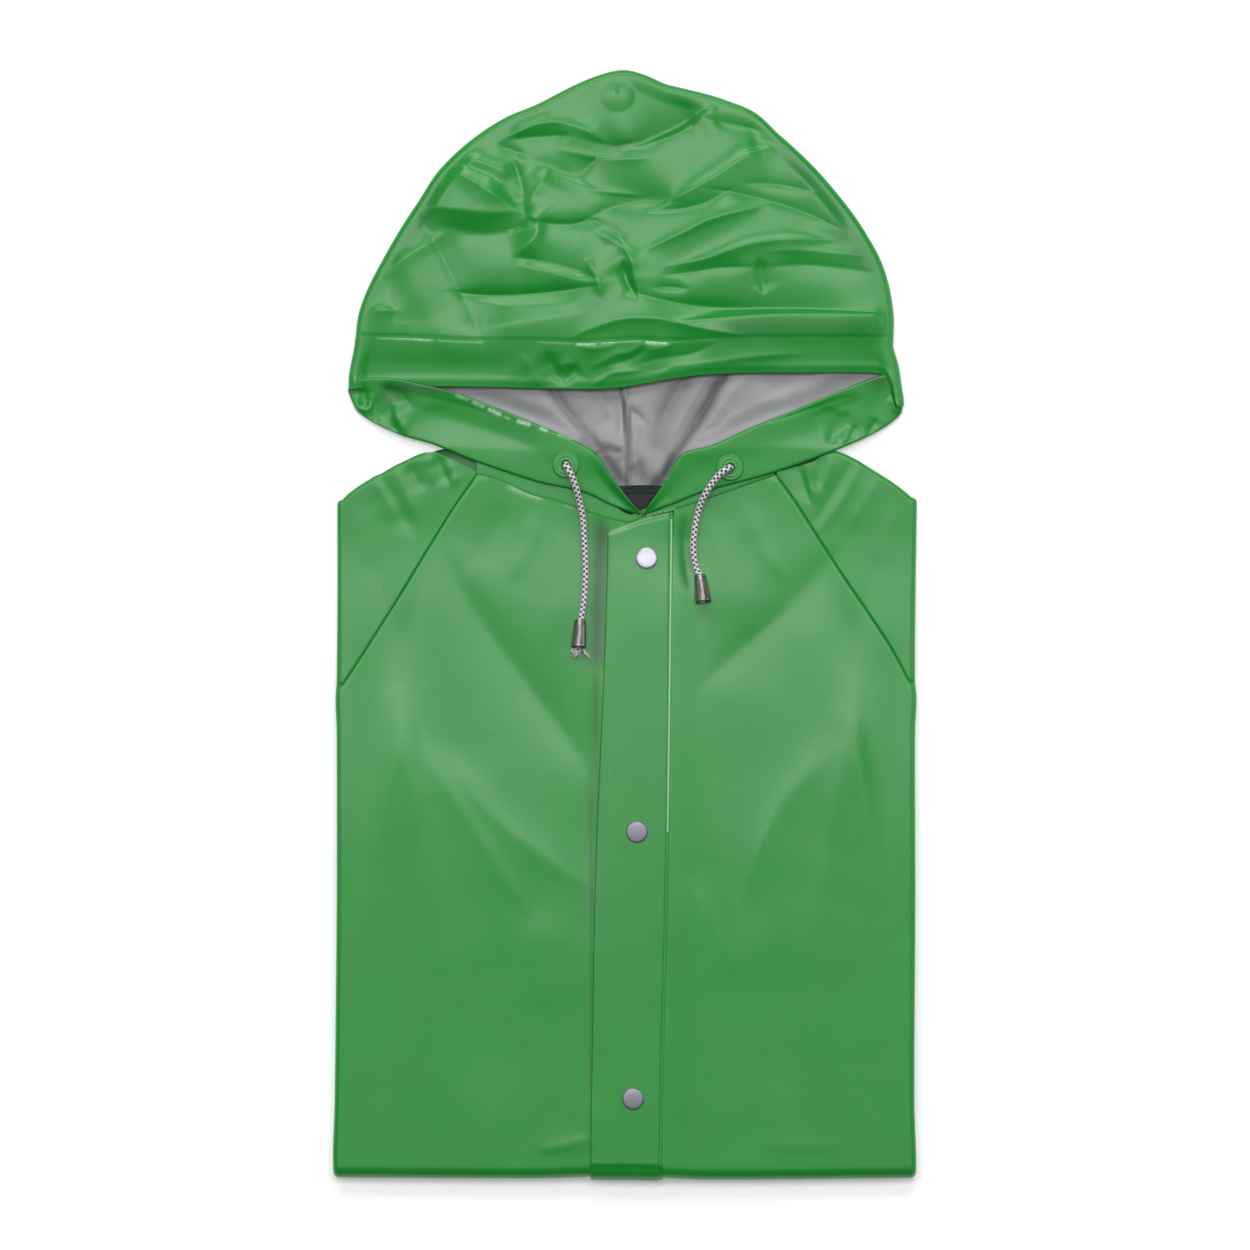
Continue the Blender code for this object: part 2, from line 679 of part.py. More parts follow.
def add_folded_layers(material, group):
    """Closed solid: its rows run down the top, round the bottom bend and back beneath, its columns meet at
    the notch between the folded pack and the turned-up part."""
    lobe = [("notch", 0.0)] + [("lobe", turn) for turn in spans(pi, 0.0, 6)]
    across = [(-1, kind, turn, -HALF_WIDTH) for kind, turn in lobe]
    across += [(0, "flat", 0.0, x) for x in spans(-HALF_WIDTH, HALF_WIDTH, 12)[1:-1]]
    across += [(1, kind, turn, HALF_WIDTH) for kind, turn in reversed(lobe)]
    across.reverse()
    stations = [0.0, FIRST_STATION] + spans(0.06, 1.0, 14)
    end_turns = spans(pi / 2.0, 0.0, 3)[:-1]
    along = [("top end", 1.0, turn) for turn in end_turns]
    along += [("top", station, 0.0) for station in reversed(stations)]
    along += [("bend", 0.0, turn) for turn in spans(0.0, pi, 8)[1:]]
    along += [("under", station, 0.0) for station in stations[1:]]
    along += [("under end", 1.0, turn) for turn in reversed(end_turns)]

    def place(column, row):
        side, kind, lobe_turn, x = column
        zone, station, turn = row
        low = bottom_bend(x)
        y = blend(low, shoulder_bend(x), station)
        half, notch_z = half_pack(y), notch_height(y)
        above = zone in ("top", "top end")
        if above:
            radius = half - HIDDEN_INSET
            middle = pack_middle(y)
            width = radius
        elif zone == "bend":
            radius = width = PACK_HALF - HIDDEN_INSET
            middle = PACK_HALF
        else:
            radius = middle = notch_z / 2.0
            off_fold = fade(0.0, FOLD_CALM_AT_BOTTOM, y - low)
            full_width = blend(PACK_HALF - HIDDEN_INSET, TURNED_UP_NARROWING * PACK_HALF, off_fold)
            width = full_width * radius / PACK_HALF
        level = radius * cos(lobe_turn) + (0.0 if side else pack_bulge(x, y) * above)
        place_x = across_body(x, y) + side * width * sin(lobe_turn)
        if zone == "bend":
            reach = 0.0 if kind == "notch" else middle + level
            return Vector((place_x, y - reach * sin(turn), TURNED_UP + reach * cos(turn)))
        z = notch_z if kind == "notch" else middle + (level if above else -level)
        if zone in ("top", "under"):
            return Vector((place_x, y, z))
        rise = z - half
        place_x += side * width * sin(lobe_turn) * (cos(turn) - 1.0)
        return Vector((place_x, y + (half - HIDDEN_INSET) * sin(turn), half + rise * cos(turn)))

    mesh = grid_mesh("folded_layers", across, along, place)
    return add_object("folded_layers", mesh, material, group)


# The body's panels, all read from the same wrap

def neck_columns(side):
    """Places across a front panel's neck edge, from where the fronts meet out to the raglan seam."""
    if side < 0:
        return spans(FRONTS_MEET_X, RAGLAN_RIGHT[-1].x, 8)
    return spans(FRONTS_MEET_X + SEAM_GAP, RAGLAN_LEFT[0].x, 6)


def wrap_columns(side, flat):
    """Columns of a body panel: its flat places, then the turns round its side fold, from left to right."""
    columns = [(x, 0.0) for x in flat]
    columns += [(side * HALF_WIDTH, turn) for turn in spans(0.0, SIDE_WRAP, 6)[1:]]
    return columns if side > 0 else columns[::-1]


def outer_lift(x, y, side_turn):
    return 0.0 if side_turn else body_relief(x, y) + pack_bulge(x, y)


def bottom_rows(wrap):
    """Rows of a panel: round the bottom fold, then up to its top edge."""
    rows = [(0.0, turn) for turn in reversed(spans(0.0, wrap, 8)[1:])]
    return rows + [(share, 0.0) for share in spans(0.0, 1.0, 20)]


def add_front(name, side, material, group):
    neck = neck_columns(side)
    flat = neck + spans(neck[-1], side * HALF_WIDTH, 6)[1:]

    def place(column, row):
        x, side_turn = column
        share, bottom_turn = row
        if bottom_turn:
            side_turn *= blend(1.0, BEND_LIP, fade(0.0, pi / 4.0, bottom_turn))
            return body_point(x, bottom_bend(x), -CLOTH, side_turn, bottom_turn)
        top = neck_seam(x) if abs(x) <= abs(neck[-1]) else raglan_seam(x) - SEAM_GAP
        y = blend(bottom_bend(x), top, share)
        return body_point(x, y, outer_lift(x, y, side_turn) - CLOTH, side_turn)

    return add_cloth(name, wrap_columns(side, flat), bottom_rows(BOTTOM_WRAP), place, CLOTH, material, group)


def add_sleeve(name, side, material, group):
    """What shows of a raglan sleeve, from its seam up over the shoulder, where the hood's neck edge covers it."""
    neck = neck_columns(side)[-1]
    flat = spans(neck + side * LAY_GAP, side * HALF_WIDTH, 8)
    rows = [(share, 0.0) for share in spans(0.0, 1.0, 8)]
    rows += [(1.0, turn) for turn in spans(0.0, SHOULDER_WRAP, 3)[1:]]
    neck_edge = SLEEVE_NECK_RIGHT if side < 0 else SLEEVE_NECK_LEFT

    def place(column, row):
        x, side_turn = column
        share, over = row
        outside = fade(*SHOULDER_WRAP_X, abs(x))
        top = blend(min(follow(neck_edge, x), shoulder_bend(x)), shoulder_bend(x), outside)
        y = blend(raglan_seam(x) + SEAM_GAP, top, share)
        side_turn *= blend(1.0, SHOULDER_LIP, fade(0.0, 1.0, share))
        return body_point(x, y, outer_lift(x, y, side_turn) - CLOTH, side_turn, 0.0, over * outside)

    return add_cloth(name, wrap_columns(side, flat), rows, place, CLOTH, material, group)


def fly_edge(y, share):
    free = follow([(edge.y, edge.free) for edge in FLY_EDGES], y)
    sewn = follow([(edge.y, edge.sewn) for edge in FLY_EDGES], y)
    return blend(free, sewn, share)


def add_placket(material, group):
    """The fly: a double strip that lies over where the fronts meet and runs round the bottom fold with them."""

    def place(share, row):
        station, bottom_turn = row
        top = follow(FLY_TOP, fly_edge(FLY_TOP[0].y, share))
        y = blend(bottom_bend(0.0), top, station)
        x = fly_edge(y, share)
        if bottom_turn:
            reach = 2.0 * PACK_HALF + LAY_GAP
            y = bottom_bend(x)
            return Vector((x, y - reach * sin(bottom_turn), TURNED_UP + reach * cos(bottom_turn)))
        y = blend(bottom_bend(x), top, station)
        return Vector((x, y, body_top(x, y) + LAY_GAP))

    return add_cloth("placket", spans(0.0, 1.0, 4), bottom_rows(FLY_WRAP), place, FLY_CLOTH, material, group)


def add_collar(name, columns, material, group):
    """Strip above the neck seam, hidden under the casing but for its lower edge."""
    rows = spans(SEAM_GAP, COLLAR_WIDTH, 3)

    def place(x, rise):
        y = neck_seam(x) + rise
        return Vector((x, y, hood_back_bottom(x, y)))

    return add_cloth(name, sorted(columns), rows, place, CLOTH, material, group)


# The hood

def rim_bearing(side, y):
    """Bearing at which the hood's rim, moved in to where its roll starts, reaches a given y."""
    near, far = (90.0, -20.0) if side > 0 else (90.0, 200.0)
    for _ in range(24):
        middle = (near + far) / 2.0
        rim = rim_point(middle, RIM_HALF)[0]
        near, far = (middle, far) if rim.y > y else (near, middle)
    return (near + far) / 2.0


def add_crown(name, side, material, group):
    """One half of the hood's top, from the centre seam round to the casing's seam and out over the rim."""
    base_y = CREASE_LINE_Y + SEAM_GAP
    low_bearing, high_bearing = rim_bearing(1, base_y), rim_bearing(-1, base_y)
    low_x, high_x = rim_point(low_bearing, RIM_HALF)[0].x, rim_point(high_bearing, RIM_HALF)[0].x
    bearings = spans(high_bearing, APEX_BEARING, 12) if side < 0 else spans(APEX_BEARING, low_bearing, 12)
    seam_shift = side * SEAM_GAP / 2.0
    rows = [(t, 0.0) for t in spans(0.0, 1.0, 8)]
    rows += [(1.0, turn) for turn in spans(0.0, RIM_WRAP, 5)[1:]]

    def place(bearing, row):
        share, turn = row
        spread = (bearing - low_bearing) / (high_bearing - low_bearing)
        base = Vector((blend(low_x, high_x, spread), base_y))
        rim, outward = rim_point(bearing, RIM_HALF)
        if not turn:
            spot = base.lerp(rim, share)
            return Vector((spot.x + seam_shift, spot.y, crown_top(spot.x, spot.y) - CLOTH))
        radius = RIM_HALF - CLOTH
        spot = rim + outward * radius * sin(turn)
        return Vector((spot.x + seam_shift, spot.y, RIM_HALF + radius * cos(turn)))

    return add_cloth(name, bearings, rows, place, CLOTH, material, group)


def add_hood_back(name, side, material, group):
    """One half of the hood's back, from the neck out to just inside the rim, split at the centre seam."""
    neck_bearing = NECK_BEARINGS.right if side < 0 else NECK_BEARINGS.left
    bearings = spans(neck_bearing, APEX_BEARING, 14) if side < 0 else spans(APEX_BEARING, neck_bearing, 14)
    rows = spans(0.0, 1.0, 12)
    rim_inset = RIM_HALF - (RIM_HALF - CLOTH) * sin(RIM_WRAP) + LAY_GAP
    outer_x = BACK_NECK_EDGE[0].x if side < 0 else BACK_NECK_EDGE[-1].x
    seam_shift = side * SEAM_GAP / 2.0

    def place(bearing, share):
        spread = (bearing - neck_bearing) / (APEX_BEARING - neck_bearing)
        x = blend(outer_x, BACK_SEAM_X, spread)
        above_collar = neck_seam(x) + COLLAR_WIDTH + LAY_GAP
        base = Vector((x, max(follow(BACK_NECK_EDGE, x), above_collar) + LAY_GAP))
        rim, outward = rim_point(bearing, rim_inset)
        spot = base.lerp(rim, share)
        return Vector((spot.x + seam_shift, spot.y, hood_back_bottom(*spot) + lining_relief(*spot)))

    return add_cloth(name, bearings, rows, place, CLOTH, material, group)


def add_brim_casing(material, group):
    """Upper stretch of the casing, from the brim's edge to the crown, turned over the rim at both ends."""
    turns = spans(0.0, RIM_WRAP, 5)[1:]
    columns = [(-1.0, turn) for turn in reversed(turns)]
    columns += [(x, 0.0) for x in spans(-1.0, 1.0, 26)]
    columns += [(1.0, turn) for turn in turns]
    rows = spans(0.0, 1.0, 4)

    def place(column, share):
        across, turn = column
        side = 1 if across > 0 else -1
        rise = blend(BRIM_EDGE[0].y, CREASE_LINE_Y, share)
        edge = rim_point(rim_bearing(side, rise), RIM_HALF)[0].x
        x = abs(across) * edge
        y = blend(follow(BRIM_EDGE, x), CREASE_LINE_Y - SEAM_GAP / 2.0, share)
        if not turn:
            return Vector((x, y, crown_top(x, y) - CASING_CLOTH))
        radius = RIM_HALF - CASING_CLOTH
        return Vector((edge + side * radius * sin(turn), y, RIM_HALF + radius * cos(turn)))

    return add_cloth("brim_casing", columns, rows, place, CASING_CLOTH, material, group)


def add_lower_casing(name, lower, upper, side, material, group):
    columns = spans(0.0, 1.0, 20)
    if side < 0:
        columns.reverse()
    rows = spans(0.0, 1.0, 4)

    def place(along, across):
        return casing_place(lower, upper, along, across)

    return add_cloth(name, columns, rows, place, CASING_CLOTH, material, group)


def add_eyelet(name, centre, material, group):
    """Flat ring on the casing, round a cord hole."""
    turns = spans(0.0, 2.0 * pi, 24)
    radii = spans(EYELET_HOLE, EYELET_RADIUS, 2)

    def place(turn, radius):
        x, y = centre.x - radius * sin(turn), centre.y + radius * cos(turn)
        return Vector((x, y, casing_face(x, y) + EYELET_LIFT))

    return add_cloth(name, turns, radii, place, EYELET_HEIGHT, material, group)


def add_neck_tape(material, group):
    columns = spans(0.0, 1.0, 3)
    rows = spans(0.0, 1.0, 2)

    def place(across, up):
        x = blend(NECK_TAPE[0].x, NECK_TAPE[1].x, across)
        low = neck_seam(x) + TAPE_LIFT
        y = blend(low, NECK_TAPE[0].y, up)
        return Vector((x, y, hood_back_bottom(x, y)))

    return add_cloth("neck_tape", columns, rows, place, CLOTH, material, group)


# The hard pieces

def add_snap(snap, material, group):
    """Snap cap with a shallow groove round its middle, seen as its profile in shares of radius and height."""
    shares = ((0.0, 1.0), (0.62, 0.91), (0.72, 0.77), (0.86, 0.86), (0.97, 0.64), (1.0, 0.4), (0.98, 0.0), (0.0, 0.0))
    profile = [(SNAP_RADIUS * out, SNAP_HEIGHT * up) for out, up in shares]
    base = body_top(snap.x, snap.y) + FLY_CLOTH + 2.0 * LAY_GAP
    return add_turned(snap.name, profile, 24, material, group, (snap.x, snap.y, base))


def add_bell(name, route, mouth, material, group):
    """Tapered cord end, a tube that the cord enters at its narrow end, lying on the front panel."""
    bore = BELL_TOP_RADIUS - BELL_WALL
    profile = (
        (bore, 0.0),
        (BELL_TOP_RADIUS - BELL_EDGE, 0.0),
        (BELL_TOP_RADIUS, -2.0 * BELL_EDGE),
        (BELL_MOUTH_RADIUS, 2.0 * BELL_EDGE - BELL_LENGTH),
        (BELL_MOUTH_RADIUS - BELL_EDGE, -BELL_LENGTH),
        (BELL_MOUTH_RADIUS - BELL_WALL, -BELL_LENGTH),
        (bore, -BELL_THROAT),
        (bore, 0.0),
    )
    end = Vector(route[-1])
    rest = Vector((mouth.x, mouth.y, body_top(mouth.x, mouth.y) + BELL_MOUTH_RADIUS + LAY_GAP))
    aim = (end - rest).normalized()
    return add_turned(name, profile, 20, material, group, end + aim * BELL_OVERLAP, aim)


def build():
    for leftover in list(bpy.data.objects):
        bpy.data.objects.remove(leftover, do_unlink=True)
    group = new_collection("hooded_raincoat")
    materials = {name: make_material(name) for name in COLOURS}
    green = materials["coated_green"]
    grey = materials["lining_grey"]

    add_folded_layers(green, group)
    add_front("front_right", -1, green, group)
    add_front("front_left", 1, green, group)
    add_sleeve("sleeve_right", -1, green, group)
    add_sleeve("sleeve_left", 1, green, group)
    add_placket(green, group)
    add_collar("collar_right", [x for x in neck_columns(-1) if x < COLLAR_ENDS.right], green, group)
    add_collar("collar_left", [x for x in neck_columns(1) if x > COLLAR_ENDS.left], green, group)
    add_neck_tape(materials["tape_black"], group)

    add_hood_back("hood_back_right", -1, grey, group)
    add_hood_back("hood_back_left", 1, grey, group)
    add_crown("hood_crown_right", -1, green, group)
    add_crown("hood_crown_left", 1, green, group)
    add_brim_casing(green, group)
    add_lower_casing("casing_right", CASING_LOWER_RIGHT, CASING_UPPER_RIGHT, -1, green, group)
    add_lower_casing("casing_left", CASING_LOWER_LEFT, CASING_UPPER_LEFT, 1, green, group)
    add_eyelet("eyelet_right", EYELET_RIGHT, green, group)
    add_eyelet("eyelet_left", EYELET_LEFT, green, group)

    for snap in SNAPS:
        add_snap(snap, materials["snap_metal"], group)
    cords = (("right", CORD_RIGHT_ROUTE, BELL_RIGHT_MOUTH), ("left", CORD_LEFT_ROUTE, BELL_LEFT_MOUTH))
    for side, route, mouth in cords:
        add_cord("drawcord_" + side, route, materials["cord_grey"], group)
        add_bell("cord_end_" + side, route, mouth, materials["bell_metal"], group)


build()
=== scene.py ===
"""Looks of a hooded raincoat of coated cloth, folded flat with its front up and its hood laid out above it.

Units are metres. X runs across the coat, +Y points from the bottom fold to the top of the hood and
+Z points up from the surface. Right and left are the wearer's, so the right front is at -X.
"""

from collections import namedtuple
from math import cos, pi, radians, sin

import bpy
import numpy as np
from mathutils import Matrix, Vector


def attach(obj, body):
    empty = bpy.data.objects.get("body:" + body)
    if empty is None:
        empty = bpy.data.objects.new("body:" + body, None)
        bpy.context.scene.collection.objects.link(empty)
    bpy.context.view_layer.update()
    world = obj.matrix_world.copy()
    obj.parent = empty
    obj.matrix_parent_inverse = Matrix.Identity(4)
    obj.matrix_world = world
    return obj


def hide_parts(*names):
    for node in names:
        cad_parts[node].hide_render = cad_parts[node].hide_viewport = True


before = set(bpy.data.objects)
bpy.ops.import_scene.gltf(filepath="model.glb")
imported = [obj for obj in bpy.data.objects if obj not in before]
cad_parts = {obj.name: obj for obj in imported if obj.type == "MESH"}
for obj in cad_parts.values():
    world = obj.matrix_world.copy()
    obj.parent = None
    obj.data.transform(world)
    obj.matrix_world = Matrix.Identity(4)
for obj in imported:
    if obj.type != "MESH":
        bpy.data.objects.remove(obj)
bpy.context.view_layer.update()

# Driving sizes, the same as the solids'

PACK_HALF = 0.0040
NECK_HALF = 0.00325
NECK_FADE = (-0.010, 0.060)
TURNED_UP = 0.0080
HEM_Y = -0.0530
HEM_RUN = 0.1150
HALF_WIDTH = 0.1850
STEEP_X = 0.1470
STEEP_HALF = 0.0200
STEEP_STEP = (-0.0450, 0.0480)
GENTLE_STEP = (-0.0750, 0.1700)
PACK_FULLNESS = 0.0012
FULL_BELOW_NECK = (0.010, 0.070)
SHOULDER_INSET = 1.15 * NECK_HALF
SIDE_WRAP = radians(140)
BOTTOM_WRAP = radians(165)
SHOULDER_WRAP = radians(78)
SHOULDER_WRAP_X = (0.120, 0.140)
BEND_LIP = 0.64
SHOULDER_LIP = 0.55
FRONTS_MEET_X = 0.0180
RIM_WRAP = radians(150)
RIM_HALF = 0.0040
DOME_RISE = 0.0065
DOME_POWER = 2.6
BRIM_DROOP = 0.0052
BRIM_DROOP_Y = (0.150, 0.197)
BACK_CLIMB = (-0.004, 0.026)
CLOTH = 0.0008
THIN_CLOTH = 0.0006
BACK_WALL = 0.0012
LAP = 0.0003
SEAM_GAP = 0.0001
SEAM_SINK = 0.0006
CORD_DIAMETER = 0.0043
FLY_THICK = 0.0016
FLY_STITCH_SINK = 0.0007
FLY_STITCH_INSET = 0.0012
COLLAR_HEIGHT = 0.0140
HOOD_BASE_Y = 0.1860
WELD_LAP = 0.0012
LINING_FULLNESS = 0.0030


def table(columns, *rows):
    """A table's rows, each with its values under the names of the columns."""
    return tuple(columns(*row) for row in rows)


# Outlines, each a short table of points in order

Edge = namedtuple("Edge", "y right left")
SIDE_EDGES = table(
    Edge,
    (-0.361, 0.1885, 0.189),
    (-0.35, 0.1902, 0.1897),
    (-0.31, 0.1891, 0.1885),
    (-0.18, 0.1878, 0.1891),
    (-0.069, 0.1879, 0.189),
    (-0.048, 0.1886, 0.19),
    (-0.036, 0.1879, 0.189),
    (0.027, 0.1874, 0.1894),
    (0.082, 0.1876, 0.1903),
)
Point = namedtuple("Point", "x y")
BOTTOM_EDGE = table(
    Point,
    (-0.19, -0.3598), (-0.06, -0.3606), (0.0, -0.3592), (0.052, -0.3614), (0.19, -0.3602),
)
SHOULDER_EDGE = table(
    Point,
    (-0.188, 0.079), (-0.18, 0.087), (-0.1658, 0.0962), (-0.124, 0.116), (-0.095, 0.118), (0.0, 0.112),
    (0.1, 0.118), (0.138, 0.1134), (0.1682, 0.0965), (0.18, 0.088), (0.19, 0.079),
)
RAGLAN_RIGHT = table(
    Point,
    (-0.1882, -0.0441), (-0.1689, -0.0141), (-0.1515, 0.0133), (-0.129, 0.0495), (-0.1116, 0.0769),
    (-0.0966, 0.0981),
)
RAGLAN_LEFT = table(
    Point,
    (0.0972, 0.0978), (0.1095, 0.0807), (0.1395, 0.0345), (0.157, 0.0096), (0.1744, -0.0166),
    (0.1897, -0.046),
)
NECK_SEAM = table(
    Point,
    (-0.0966, 0.0981), (-0.0815, 0.0942), (-0.0622, 0.0852), (-0.0441, 0.0804), (-0.0248, 0.0737),
    (0.0029, 0.0665), (0.011, 0.07), (0.0331, 0.0756), (0.0502, 0.0812), (0.0972, 0.0978),
)
HOOD_HUB = Point(0.0, 0.170)
APEX_BEARING = 91.2
APEX = Point(-0.0046, 0.3459)
APEX_BUMP_RADIUS = 0.0118
APEX_BUMP_HEIGHT = 0.0011
APEX_GROOVE = 0.0010
BACK_SEAM_X = 0.0023
BACK_SEAM = table(Point, (BACK_SEAM_X, 0.092), (BACK_SEAM_X, 0.1187), (0.001, 0.1413), (-0.0023, 0.1547))
NeckBearings = namedtuple("NeckBearings", "right left")
NECK_BEARINGS = NeckBearings(202.0, -21.5)
HOOD_OUTLINE = table(
    Point,
    (-0.1249, 0.1166), (-0.147, 0.124), (-0.174, 0.138), (-0.1801, 0.1529), (-0.1764, 0.1811),
    (-0.1732, 0.2045), (-0.1556, 0.2425), (-0.1359, 0.2744), (-0.1212, 0.2965), (-0.0795, 0.33),
    (-0.055, 0.3406), (-0.012, 0.36), (0.0, 0.3618), (0.0125, 0.3588), (0.0285, 0.3521), (0.0653, 0.3423),
    (0.0849, 0.334), (0.102, 0.3185), (0.134, 0.2866), (0.156, 0.2572), (0.1683, 0.2339), (0.1749, 0.2045),
    (0.1749, 0.1775), (0.1781, 0.1627), (0.1818, 0.1456), (0.1793, 0.137), (0.1376, 0.1132),
)
BRIM_EDGE = table(
    Point,
    (-0.184, 0.1524), (-0.161, 0.1549), (-0.0985, 0.1549), (-0.04, 0.1536), (-0.0059, 0.1542),
    (0.0502, 0.1627), (0.1232, 0.1642), (0.164, 0.1638), (0.17, 0.1605), (0.1742, 0.153), (0.1768, 0.1385),
)
WELD_LINE = table(
    Point,
    (-0.1764, 0.1873), (-0.14, 0.1866), (-0.1, 0.1845), (-0.05, 0.1842), (-0.026, 0.1834), (0.01, 0.185),
    (0.027, 0.184), (0.065, 0.186), (0.175, 0.1862),
)
BACK_NECK_EDGE = table(
    Point,
    (-0.1225, 0.1185), (-0.0966, 0.114), (-0.0441, 0.096), (-0.016, 0.0905), (0.012, 0.0905),
    (0.04, 0.0912), (0.0972, 0.114), (0.135, 0.1165),
)
SLEEVE_NECK_RIGHT = table(Point, (-0.126, 0.114), (-0.0966, 0.1))
SLEEVE_NECK_LEFT = table(Point, (0.0972, 0.0995), (0.138, 0.111))
CASING_LOWER_RIGHT = table(
    Point,
    (0.0098, 0.0715), (-0.005, 0.0763), (-0.0274, 0.0863), (-0.0574, 0.0931), (-0.0985, 0.1069),
    (-0.1247, 0.1174), (-0.147, 0.124), (-0.1736, 0.1383), (-0.1806, 0.152),
)
CASING_UPPER_RIGHT = table(
    Point,
    (0.0098, 0.073), (-0.0074, 0.095), (-0.0186, 0.1112), (-0.0299, 0.1187), (-0.0611, 0.1324),
    (-0.0923, 0.1449), (-0.1197, 0.1542), (-0.156, 0.161), (-0.179, 0.16),
)
CASING_LOWER_LEFT = table(
    Point,
    (0.0122, 0.0715), (0.0329, 0.0792), (0.0502, 0.086), (0.0968, 0.099), (0.1367, 0.1134),
    (0.1647, 0.126), (0.1796, 0.1372), (0.1812, 0.145),
)
CASING_UPPER_LEFT = table(
    Point,
    (0.0122, 0.073), (0.0276, 0.0961), (0.0369, 0.1114), (0.0569, 0.1174), (0.0835, 0.1294),
    (0.1167, 0.1427), (0.158, 0.16), (0.178, 0.166),
)
FlyEdge = namedtuple("FlyEdge", "y free sewn")
FLY_EDGES = table(
    FlyEdge,
    (-0.361, -0.022, 0.0239),
    (-0.2774, -0.0209, 0.0256),
    (-0.1398, -0.0182, 0.0288),
    (-0.0368, -0.0135, 0.0302),
    (0.066, -0.0104, 0.0314),
)
FLY_TOP = table(Point, (-0.0104, 0.0612), (0.0, 0.0648), (0.0095, 0.0684), (0.0314, 0.0738))
Snap = namedtuple("Snap", "name x y up")
SNAPS = table(
    Snap,
    ("snap_top", 0.0141, 0.0436, (-0.03, 0.14, 1.0)),
    ("snap_middle", 0.0078, -0.1346, (0.0, 0.01, 1.0)),
    ("snap_bottom", 0.0053, -0.3082, (0.01, 0.0, 1.0)),
)
EYELET_RIGHT = Point(-0.0385, 0.1045)
EYELET_LEFT = Point(0.0685, 0.1027)

# Creases: a ridge, or a trough where the height is below zero, along a path. Left and right are how far its
# flanks run out on each side of the path's direction, and soft is the rounding of its crest.

